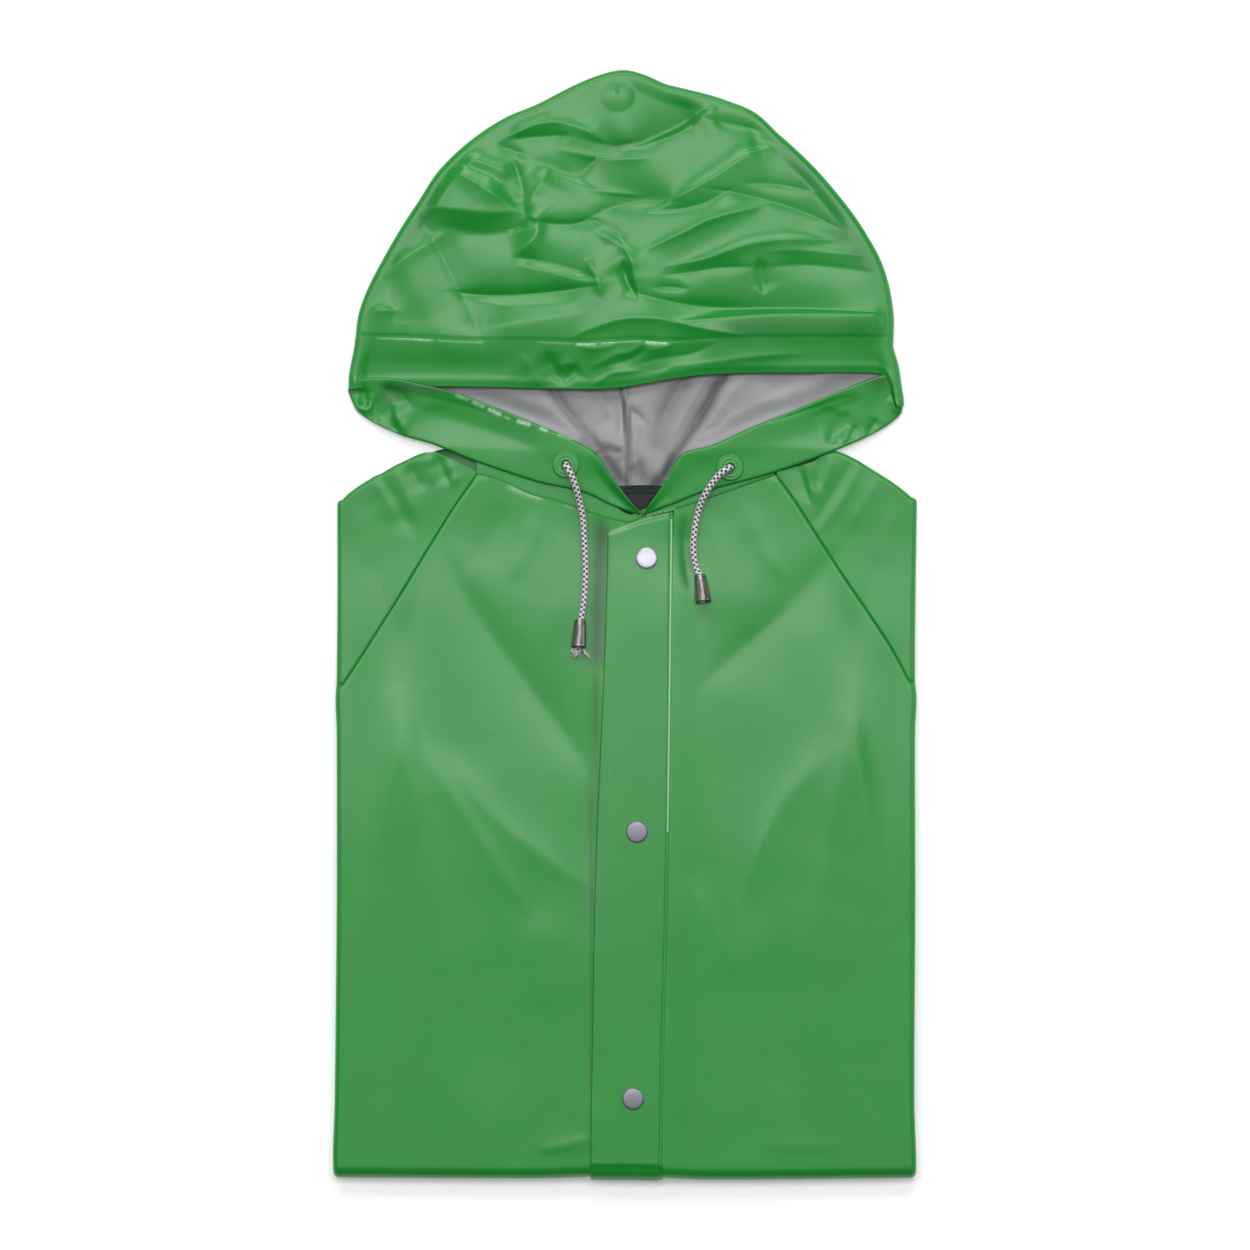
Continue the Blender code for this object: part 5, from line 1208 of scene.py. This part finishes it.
def fly_rise(x, y):
    """How far the left front rises towards the fly's sewn edge, so that the two are one surface there."""
    from_sewn = x - fly_sewn(y)
    return (LAP + FLY_THICK) * (1.0 - fade(0.0, 0.022, from_sewn))


def add_front(half):
    """A front: flat below the raglan and neck seams, and turned round its side fold and the bottom fold."""
    side, raglan, neck_x, _, start = HALVES[half]
    by_neck = np.linspace(start, neck_x, NECK_COLUMNS)
    by_side = np.linspace(neck_x, side * HALF_WIDTH, SIDE_COLUMNS)[1:]
    x, side_turn = panel_columns(side, np.append(by_neck, by_side))
    share, bottom_turn = bottom_rows(BOTTOM_WRAP, FRONT_ROWS)
    in_neck = np.abs(x) <= abs(neck_x)
    top = np.where(in_neck, neck_seam(x) - SEAM_GAP, follow(raglan, x) - SEAM_GAP)
    y = blend(bottom_bend(x), top, share)
    if side > 0:
        x = x + fly_sewn(y) * np.clip(1.0 - x / neck_x, 0.0, 1.0)
        top = np.where(in_neck, neck_seam(x) - SEAM_GAP, top)
        y = blend(bottom_bend(x), top, share)
    side_turn = side_turn * blend(1.0, BEND_LIP, fade(0.0, pi / 4.0, bottom_turn))
    lift = body_relief(x, y) + pack_bulge(x, y)
    if side > 0:
        lift = lift + fly_rise(x, y)
    points = body_points(side, x, y, lift * (side_turn == 0.0), side_turn, bottom_turn)
    shown = bottom_turn == 0.0
    points[..., 2] -= SEAM_SINK * bell_curve(y, follow(raglan, x), 0.0012) * shown
    # The last share paints shade into the colour in the folds beside the fly and by the neck.
    add_cloth("front_" + half, points, "folded", "hidden_layers", outer=green,
              wear=wear_share(BODY_WEAR, points) * shown, deep=wear_share(BODY_PAINTED_SHADE, points) * shown)


def add_sleeve(half):
    """What shows of a raglan sleeve, from its seam up over the shoulder."""
    side, raglan, neck_x, neck_edge, _ = HALVES[half]
    flat = np.linspace(neck_x + side * SEAM_SINK, side * HALF_WIDTH, SLEEVE_COLUMNS)
    x, side_turn = panel_columns(side, flat)
    over_turns = np.linspace(0.0, SHOULDER_WRAP, SHOULDER_STEPS)[1:]
    share = np.append(np.linspace(0.0, 1.0, SLEEVE_ROWS), np.ones(len(over_turns)))[:, None]
    over = np.append(np.zeros(SLEEVE_ROWS), over_turns)[:, None]
    outside = fade(*SHOULDER_WRAP_X, np.abs(x))
    shoulder = shoulder_bend(x)
    top = blend(np.minimum(follow(neck_edge, x), shoulder), shoulder, outside)
    y = blend(follow(raglan, x) + SEAM_GAP, top, share)
    side_turn = side_turn * blend(1.0, SHOULDER_LIP, fade(0.0, 1.0, share))
    lift = (side_turn == 0.0) * (body_relief(x, y) + pack_bulge(x, y))
    points = body_points(side, x, y, lift, side_turn, 0.0, over * outside)
    points[..., 2] += LAP - SEAM_SINK * bell_curve(y, follow(raglan, x), 0.0010)
    add_cloth("sleeve_" + half, points, "folded", "hidden_layers", outer=green)


def add_placket():
    """The fly: one surface with the left front at its sewn edge, and a free turned edge at the other."""
    low, high = 0.06, 0.94
    edge_turns = np.linspace(pi / 2.0, 0.0, 8)[:-1]
    middle = np.linspace(low, high, 30)[1:-1]
    share_across = np.concatenate([np.linspace(0.0, low, 9), middle, np.linspace(high, 1.0, 8)])
    across = np.append(np.zeros(len(edge_turns)), share_across)[None, :]
    edge_turn = np.append(edge_turns, np.zeros(len(share_across)))[None, :]
    station, bottom_turn = bottom_rows(FLY_WRAP, FLY_ROWS)
    fly_top_y = FLY_EDGES[-1].y
    top_y = follow(FLY_TOP, blend(fly_free(fly_top_y), fly_sewn(fly_top_y), across))
    y = blend(bottom_bend(np.array(0.0)), top_y, station)
    x = blend(fly_free(y), fly_sewn(y), across)
    y = blend(bottom_bend(x), top_y, station)
    shown = bottom_turn == 0.0
    puff = FLY_PUFF * np.sin(pi * across) ** 0.7
    stitch_dip = -FLY_STITCH_SINK * bell_curve(x, fly_sewn(y) - FLY_STITCH_INSET, 0.0009)
    top_bevel = FLY_BEVEL * (1.0 - fade(0.0, 0.0014, top_y - y)) * shown
    lift = LAP + FLY_THICK * np.cos(edge_turn) + puff + stitch_dip - top_bevel
    x = x - FLY_THICK * 0.35 * np.sin(edge_turn)
    bend_reach = 2.0 * PACK_HALF + lift
    place_y = np.where(shown, y, bottom_bend(x) - bend_reach * np.sin(bottom_turn))
    place_z = np.where(shown, body_top(x, y) + lift, TURNED_UP + bend_reach * np.cos(bottom_turn))
    points = stacked(x, place_y, place_z)
    # Painted highlight: a pale line along the fly's top edge, where it faces the light.
    top_edge_painted_highlight = 0.5 * bell_curve(y, top_y - 0.0012, 0.0010) * fade(0.010, -0.004, x) * shown
    add_cloth("placket", points, "laid", "front_left_cloth", outer=green,
              wear=np.maximum(wear_share(BODY_WEAR, points), top_edge_painted_highlight))


def add_collar(name, x_from, x_to):
    """Strip above the neck seam, most of it under the hood's casing."""
    x = np.linspace(x_from, x_to, 70)[None, :]
    height = blend(0.0050, COLLAR_HEIGHT, fade(0.004, 0.030, np.abs(x - 0.0100)))
    rise = np.linspace(SEAM_GAP, 1.0, 22)[:, None] * height
    y = neck_seam(x) + rise
    points = stacked(x, y, hood_back_bottom(x, y) + BACK_WALL - 0.0002 * bell_curve(rise, 0.0, 0.0007))
    add_cloth(name, points, "laid", "hidden_layers", outer=green, thickness=THIN_CLOTH)


def add_neck_tape():
    """Short tape across the back of the neck, with a low ridge along it."""
    x = np.linspace(-0.0060, 0.0260, 30)[None, :]
    y = blend(neck_seam(x) + 0.0018, 0.0895, np.linspace(0.0, 1.0, 24)[:, None])
    ridge = 0.0004 * bell_curve(y, 0.0868, 0.0006) - 0.0003 * bell_curve(y, 0.0852, 0.0005)
    points = stacked(x, y, hood_back_bottom(x, y) + 0.0004 + ridge)
    add_cloth("neck_tape", points, "laid", "hidden_layers", outer=black, slot="tape_black",
              thickness=THIN_CLOTH)


HIDDEN_DROP = 0.0045
HIDDEN_INSET = 0.0021
LAYER_NOTCH = 0.12


def add_hidden_layers():
    """Back, rest of the sleeves and turned-up lower half: one solid whose edges show their layers."""
    steps = 24
    lobe = np.linspace(pi, 0.0, steps)
    flat = np.linspace(-HALF_WIDTH, HALF_WIDTH, 60)[1:-1]
    side = np.concatenate([np.full(steps + 1, -1.0), np.zeros(len(flat)), np.full(steps + 1, 1.0)])
    x = np.concatenate([np.full(steps + 1, -HALF_WIDTH), flat, np.full(steps + 1, HALF_WIDTH)])
    turn = np.concatenate([[0.0], lobe, np.zeros(len(flat)), lobe[::-1], [0.0]])
    notch = np.zeros(len(x), bool)
    notch[[0, -1]] = True
    stations = np.concatenate([[0.0, 0.0055], np.linspace(0.02, 1.0, 90)])
    rows = [("top end", 1.0, end) for end in np.linspace(pi / 2.0, 0.0, 6)[:-1]]
    rows += [("top", station, 0.0) for station in stations[::-1]]
    rows += [("bend", 0.0, bend) for bend in np.linspace(0.0, pi, 24)[1:]]
    rows += [("under", station, 0.0) for station in stations[1:]]
    rows += [("under end", 1.0, end) for end in np.linspace(pi / 2.0, 0.0, 6)[:-1][::-1]]
    lines = []
    for zone, station, end in rows:
        low = bottom_bend(x)
        y = blend(low, shoulder_bend(x), station)
        half = half_pack(y)
        notch_z = np.maximum(pack_middle(y) - half, 0.0005)
        above = zone in ("top", "top end")
        if above:
            radius = width = half - HIDDEN_INSET
            middle = pack_middle(y)
        elif zone == "bend":
            radius = width = np.full(len(x), PACK_HALF - HIDDEN_INSET)
            middle = np.full(len(x), PACK_HALF)
        else:
            radius = middle = notch_z / 2.0
            full_width = blend(PACK_HALF - HIDDEN_INSET, PACK_HALF - 0.0004, fade(0.0, 0.012, y - low))
            width = full_width * radius / PACK_HALF
        layered = 1.0 - LAYER_NOTCH * np.abs(np.cos(2.0 * turn)) * (side != 0.0)
        flat_top = (side == 0.0) * above
        under_cloth = HIDDEN_DROP * fade(0.0, 0.020, HALF_WIDTH - np.abs(x))
        level = radius * np.cos(turn) + flat_top * (pack_bulge(x, y) - under_cloth)
        edge = np.where(x > 0, side_edge(1, y), side_edge(-1, y)) - half
        place_x = x * edge / HALF_WIDTH + side * width * layered * np.sin(turn)
        if zone == "bend":
            reach = np.where(notch, 0.0, middle + level)
            lines.append(stacked(place_x, y - reach * sin(end), TURNED_UP + reach * cos(end)))
            continue
        z = np.where(notch, notch_z, middle + (level if above else -level))
        if zone in ("top", "under"):
            lines.append(stacked(place_x, y, z))
            continue
        place_x = place_x + side * width * np.sin(turn) * (cos(end) - 1.0)
        lines.append(stacked(place_x, y + (half - HIDDEN_INSET) * sin(end), half + (z - half) * cos(end)))
    faces = grid_faces(len(lines), len(x)).tolist()
    piece = new_piece("hidden_layers", new_mesh("hidden_layers", lines, faces), green)
    weld = piece.modifiers.new("Weld", "WELD")
    weld.merge_threshold = 0.00003
    finish_piece(piece, "coated_green", "folded_layers")


# The hood's pieces

SEEN_SHARE = 0.34


def add_crown(name, side):
    """Half of the hood's top, from the casing's lap up to its rim and rolled over it."""
    low_bearing, high_bearing = rim_bearing(1, HOOD_BASE_Y), rim_bearing(-1, HOOD_BASE_Y)
    bearing = np.linspace(high_bearing if side < 0 else low_bearing, APEX_BEARING, 225)[None, :]
    rows = 200
    share = np.concatenate([np.linspace(0.0, 1.0, rows), np.ones(9)])[:, None]
    turn = np.concatenate([np.zeros(rows), np.linspace(0.0, RIM_WRAP, 10)[1:]])[:, None]
    spread = (bearing - low_bearing) / (high_bearing - low_bearing)
    low_x = rim_points(np.array(low_bearing), RIM_HALF)[0][0]
    high_x = rim_points(np.array(high_bearing), RIM_HALF)[0][0]
    base_x = blend(low_x, high_x, spread)
    base = stacked(base_x, follow(WELD_LINE, base_x) - WELD_LAP)
    rim, outward = rim_points(bearing, RIM_HALF)
    spot = blend(base, rim, share[..., None])
    x, y = spot[..., 0], spot[..., 1]
    z = crown_top(x, y) - LAP * (1.0 - fade(0.001, 0.004, y - follow(WELD_LINE, x)))
    rolled = rim + outward * RIM_HALF * np.sin(turn)[..., None]
    over_rim = stacked(rolled[..., 0], rolled[..., 1], RIM_HALF + RIM_HALF * np.cos(turn))
    points = np.where(turn[..., None] > 0, over_rim, stacked(x, y, z))
    # The last share paints shade onto crown facets turned from the light and along the crown's base.
    add_cloth(name, points, "laid", "hood_back_right_cloth", outer=green, inner=grey, flat=(0.195, 0.220),
              deep=wear_share(CROWN_PAINTED_SHADE, points) * (turn == 0.0))


def add_brim_casing():
    """Upper stretch of the casing, lapped over the crown at the weld and turned under at the brim."""
    columns, rows = 300, 34
    turns = np.linspace(0.0, RIM_WRAP, 9)[1:]
    across = np.concatenate([np.full(8, -1.0), np.linspace(-1.0, 1.0, columns), np.full(8, 1.0)])
    turn = np.concatenate([turns[::-1], np.zeros(columns), turns])
    lip = np.linspace(pi, 0.0, 10)[:-1]
    share = np.concatenate([np.zeros(len(lip)), np.linspace(0.0, 1.0, rows)])
    lip_turn = np.concatenate([lip, np.zeros(rows)])
    lip_radius = 0.0008
    lines = []
    for up, roll in zip(share, lip_turn):
        ends = [(-1, blend(BRIM_EDGE[0].y, HOOD_BASE_Y, up)), (1, blend(BRIM_EDGE[-1].y, HOOD_BASE_Y, up))]
        edges = [rim_points(np.array(rim_bearing(side, end)), RIM_HALF)[0][0] for side, end in ends]
        x = np.where(across < 0, -across * edges[0], across * edges[1])
        brim, weld = follow(BRIM_EDGE, x), follow(WELD_LINE, x)
        y = blend(brim + lip_radius, weld, up)
        bead = 0.0005 * bell_curve(y, brim + 0.0045, 0.0030)
        z = crown_top(x, y) + LAP * fade(0.020, 0.0, weld - y) + bead - lip_radius * (1.0 - cos(roll))
        x_out = x + np.sign(across) * RIM_HALF * np.sin(turn)
        z_out = np.where(turn > 0, RIM_HALF + RIM_HALF * np.cos(turn), z)
        lines.append(stacked(x_out, y - lip_radius * sin(roll), z_out))
    points = np.array(lines)
    wear = wear_share(WELD_WEAR, points)
    add_cloth("brim_casing", points, "laid", "hood_crown_right_cloth", outer=green, wear=wear)


def add_hood_back(name, side):
    """Half of the hood's back, its rows closest together where the face opening shows them."""
    neck_bearing = NECK_BEARINGS.right if side < 0 else NECK_BEARINGS.left
    bearing = np.linspace(neck_bearing, APEX_BEARING, 92)[None, :]
    share = np.append(np.linspace(0.0, SEEN_SHARE, 72), np.linspace(SEEN_SHARE, 1.0, 20)[1:])[:, None]
    rim_inset = RIM_HALF - (RIM_HALF - CLOTH) * sin(RIM_WRAP) + 0.0006
    outer_x = BACK_NECK_EDGE[0].x if side < 0 else BACK_NECK_EDGE[-1].x
    spread = (bearing - neck_bearing) / (APEX_BEARING - neck_bearing)
    base_x = blend(outer_x, BACK_SEAM_X, spread)
    above_collar = neck_seam(base_x) + COLLAR_HEIGHT + 0.0006
    base = stacked(base_x, np.maximum(follow(BACK_NECK_EDGE, base_x), above_collar) + 0.0006)
    spot = blend(base, rim_points(bearing, rim_inset)[0], share[..., None])
    x, y = spot[..., 0] + side * SEAM_GAP / 2.0, spot[..., 1]
    points = stacked(x, y, lining_top(x, y))
    # The last share paints shade into the lining's folds and a shadow under the brim.
    add_cloth(name, points, "laid", outer=grey, inner=green, slot="lining_grey", thickness=0.0010,
              flat=(0.190, 0.270), deep=wear_share(LINING_PAINTED_SHADE, points))


CASING_THICK = 0.0020
CASING_FOLD = 0.0016
CASING_BRIM_THICK = 0.0018
CASING_HOLLOW = 0.0007
CASING_LIFT = (0.0013, 0.0044)
CASING_LIFT_BEYOND = 0.0042
CASING_DEEPEST = -0.0014
HOLE_RADIUS = 0.0040


def casing_points(lower, upper, creases, along, phase):
    """Points of a lower stretch of the casing: a flat tunnel whose two long edges are round folds."""
    low, high = route_points(lower, along), route_points(upper, along)
    across = 0.5 - 0.5 * np.cos(phase)
    spot = low[None, :, :] + (high - low)[None, :, :] * across[:, None, None]
    x, y = spot[..., 0], spot[..., 1]
    width = np.linalg.norm(high - low, axis=1)[None, :]
    from_low, from_high = across[:, None] * width, (1.0 - across[:, None]) * width
    edge = np.minimum(from_low, from_high)
    round_edge = np.sqrt(np.clip(1.0 - (1.0 - np.minimum(edge / CASING_FOLD, 1.0)) ** 2, 0.0, 1.0))
    hollow = -CASING_HOLLOW * np.sin(pi * across)[:, None] ** 2
    under_brim = fade(0.70, 1.0, along)[None, :]
    relief = crease_relief(creases, x, y) * fade(0.0, 0.002, edge)
    thick = blend(CASING_THICK, CASING_BRIM_THICK, under_brim) * fade(-0.02, 0.06, along)[None, :]
    beyond = fade(0.0, 0.030, y - follow(SHOULDER_EDGE, x)) * (1.0 - under_brim)
    lifted = blend(*CASING_LIFT, across[:, None]) + CASING_LIFT_BEYOND * beyond
    z = hood_back_bottom(x, y) + lifted + (thick + hollow) * round_edge + np.maximum(relief, CASING_DEEPEST)
    return stacked(x, y, z)


def casing_height(points, x, y):
    """Height of a casing's outer face at a place, from its nearest point."""
    flat = points.reshape(-1, 3)
    return float(flat[np.argmin(np.hypot(flat[:, 0] - x, flat[:, 1] - y)), 2])


def add_lower_casing(name, lower, upper, creases, eyelet):
    """Lower stretch of the casing, with its cord hole left open; returns its points."""
    points = casing_points(lower, upper, creases, np.linspace(0.0, 1.0, 170), np.linspace(0.0, pi, 44))
    middle = (points[:-1, :-1] + points[1:, 1:]) / 2.0
    keep = np.hypot(middle[..., 0] - eyelet.x, middle[..., 1] - eyelet.y) > HOLE_RADIUS
    # The last share paints the brim's shadow over the casing's ends and shade in its fold by the neck.
    add_cloth(name, points, "folded", "hood_back_right_cloth", outer=green, thickness=THIN_CLOTH, keep=keep,
              wear=wear_share(CASING_WEAR, points), deep=wear_share(CASING_PAINTED_SHADE, points))
    return points


def add_eyelet(name, centre, casing):
    """Round stamped patch with a raised ring, a flat land and a cord hole."""
    top = casing_height(casing, centre.x, centre.y + 0.006)
    profile = (
        (0.0026, -0.0018), (0.0026, -0.0005), (0.0028, 0.0001), (0.0033, 0.0003), (0.0040, 0.0001),
        (0.0048, 0.0), (0.0054, 0.0002), (0.0060, 0.0002), (0.0066, 0.0001), (0.0074, 0.0001),
        (0.0080, 0.0002), (0.0086, 0.0), (0.0088, -0.0004),
    )
    place = (centre.x, centre.y, top + 0.0002)
    piece = add_turned(name + "_ring", profile, 64, green, place, Vector((0.0, 0.0, 1.0)))
    add_wall(piece, 0.0003)
    finish_piece(piece, "coated_green", name)


# Snaps and stitches

SNAP_LIFT = 0.0010
THREAD_HALF = 0.0003


def add_snap(snap):
    """Cap of a press stud: a flat disc with a rounded rim, tilted a little with the cloth below it."""
    profile = (
        (0.00001, 0.0020), (0.0030, 0.00194), (0.0056, 0.0018), (0.0062, 0.0017), (0.0066, 0.00156),
        (0.0069, 0.0013), (0.0071, 0.0009), (0.0071, 0.0005), (0.0070, 0.0001), (0.0067, 0.0),
    )
    seat = float(fly_surface(np.array(snap.x), np.array(snap.y))) + SNAP_LIFT
    # The top snap gets the paler copy, a painted highlight.
    metal = painted_highlight_metal if snap.name == "snap_top" else pale_metal
    piece = add_turned(snap.name + "_cap", profile, 72, metal, (snap.x, snap.y, seat), Vector(snap.up))
    finish_piece(piece, "snap_metal", snap.name)


def add_stitches(name, path, surface, material, pitch, length, width, slant=0.0, lift=0.0001):
    """Row of short thread stitches along a path on a surface, each a small rounded bar."""
    route = np.array(path, float)
    total = float(np.linalg.norm(np.diff(route, axis=0), axis=1).sum())
    count = max(2, round(total / pitch))
    centres = route_points(path, (np.arange(count) + 0.5) / count)
    ahead = route_points(path, np.clip((np.arange(count) + 0.7) / count, 0.0, 1.0))
    run = ahead - centres
    run /= np.linalg.norm(run, axis=1, keepdims=True)
    turn = np.array([[cos(slant), -sin(slant)], [sin(slant), cos(slant)]])
    run = run @ turn.T
    across = stacked(-run[:, 1], run[:, 0])
    stations = np.array([-0.5, -0.36, 0.0, 0.36, 0.5])
    girth = np.array([0.15, 0.8, 1.0, 0.8, 0.15])
    ring = np.linspace(0.0, 2.0 * pi, 7)[:-1]
    spots = centres[:, None] + run[:, None] * stations[None, :, None] * length
    heights = surface(spots[..., 0], spots[..., 1]) + lift
    corners, faces = [], []
    for row, levels, aside in zip(spots, heights, across):
        base = len(corners)
        for spot, height, size in zip(row, levels, girth):
            for angle in ring:
                off = aside * (0.5 * width * size * cos(angle))
                corners.append((spot[0] + off[0], spot[1] + off[1], height + THREAD_HALF * size * sin(angle)))
        faces += tube_faces(len(stations), len(ring), base)
    finish_piece(new_piece(name, new_mesh(name, corners, faces), material), "coated_green")


def fly_surface(x, y):
    return body_top(x, y) + LAP + FLY_THICK - FLY_STITCH_SINK


def add_fly_stitches():
    """The fly's seam: short cross stitches, pale on its upper stretch and green lower down."""
    stretches = (("pale", 0.0690, -0.1350, pale_thread), ("green", -0.1365, -0.3520, thread))
    for name, start, end, material in stretches:
        levels = np.linspace(start, end, 20)
        path = [(float(fly_sewn(level)) - FLY_STITCH_INSET, float(level)) for level in levels]
        add_stitches("fly_stitches_" + name, path, fly_surface, material, pitch=0.0014, length=0.0008,
                     width=0.0016, lift=0.0002)


def neck_surface(x, y):
    return hood_back_bottom(x, y) + 0.0022


def add_neck_stitches():
    """Slanted stitches that tack the collar's left end, just above the fly."""
    path = [(x, float(neck_seam(x)) + 0.0002) for x in np.linspace(0.0140, 0.0330, 8)]
    add_stitches("neck_stitches", path, neck_surface, mid_thread, pitch=0.0016, length=0.0026,
                 width=0.0008, slant=radians(55))


def build():
    add_hidden_layers()
    for half in HALVES:
        add_front(half)
    for half in HALVES:
        add_sleeve(half)
    add_placket()
    add_collar("collar_right", -0.0966, 0.0107)
    add_collar("collar_left", 0.0113, 0.0972)
    add_neck_tape()
    add_hood_back("hood_back_right", -1)
    add_hood_back("hood_back_left", 1)
    add_crown("hood_crown_right", -1)
    add_crown("hood_crown_left", 1)
    add_brim_casing()
    right = add_lower_casing("casing_right", CASING_LOWER_RIGHT, CASING_UPPER_RIGHT, CASING_RIGHT_CREASES,
                             EYELET_RIGHT)
    left = add_lower_casing("casing_left", CASING_LOWER_LEFT, CASING_UPPER_LEFT, CASING_LEFT_CREASES,
                            EYELET_LEFT)
    add_eyelet("eyelet_right", EYELET_RIGHT, right)
    add_eyelet("eyelet_left", EYELET_LEFT, left)
    for snap in SNAPS:
        add_snap(snap)
    add_fly_stitches()
    add_neck_stitches()


build()

# Stage: a pale floor and sky, a soft light on each side, three overhead and one far beyond the hood


FLOOR_HALF = 4.0
FLOOR_DROP = 0.0004


def add_floor():
    corners = [(FLOOR_HALF * x, FLOOR_HALF * y, 0.0) for x, y in ((-1, -1), (1, -1), (1, 1), (-1, 1))]
    white = Finish("floor_white", (0.93, 0.93, 0.93), 0.9)
    white.put(white.shader["Specular IOR Level"], 0.0)
    white.put(white.shader["Emission Color"], (1.0, 1.0, 1.0, 1.0))
    white.put(white.shader["Emission Strength"], 0.25)
    floor = new_piece("floor", new_mesh("floor", corners, [(0, 1, 2, 3)]), white.material)
    floor.location.z = -FLOOR_DROP


Light = namedtuple("Light", "name place aim width length power")
LIGHTS = table(
    Light,
    ("left_box", (-2.4, 0.6, 1.7), (0.0, 0.1, 0.0), 1.0, 2.2, 7.0),
    ("right_box", (2.2, 0.4, 1.1), (0.05, 0.0, 0.0), 1.2, 2.0, 11.0),
    ("over_band", (-0.7, 1.42, 6.6), (-0.7, 0.0, 0.0), 7.4, 1.7, 176.0),
    ("far_band", (0.0, 2.7, 6.6), (0.0, 0.2, 0.0), 4.8, 0.9, 70.0),
    ("near_band", (0.0, -1.1, 6.6), (0.0, 0.0, 0.0), 8.4, 2.4, 55.0),
    ("far_box", (-0.5, 7.2, 6.0), (0.0, 0.0, 0.0), 7.8, 3.6, 460.0),
)


def add_light(light):
    data = bpy.data.lights.new(light.name, "AREA")
    data.shape = "RECTANGLE"
    data.size = light.width
    data.size_y = light.length
    data.energy = light.power
    lamp = bpy.data.objects.new(light.name, data)
    lamp.location = light.place
    lamp.rotation_euler = (Vector(light.aim) - Vector(light.place)).to_track_quat("-Z", "Y").to_euler()
    bpy.context.scene.collection.objects.link(lamp)


def add_sky():
    world = bpy.data.worlds.new("sky")
    world.use_nodes = True
    background = world.node_tree.nodes["Background"]
    background.inputs["Color"].default_value = (1.0, 1.0, 1.0, 1.0)
    background.inputs["Strength"].default_value = 0.06
    bpy.context.scene.world = world


add_floor()
for light in LIGHTS:
    add_light(light)
add_sky()
bpy.context.scene.view_settings.view_transform = "Standard"
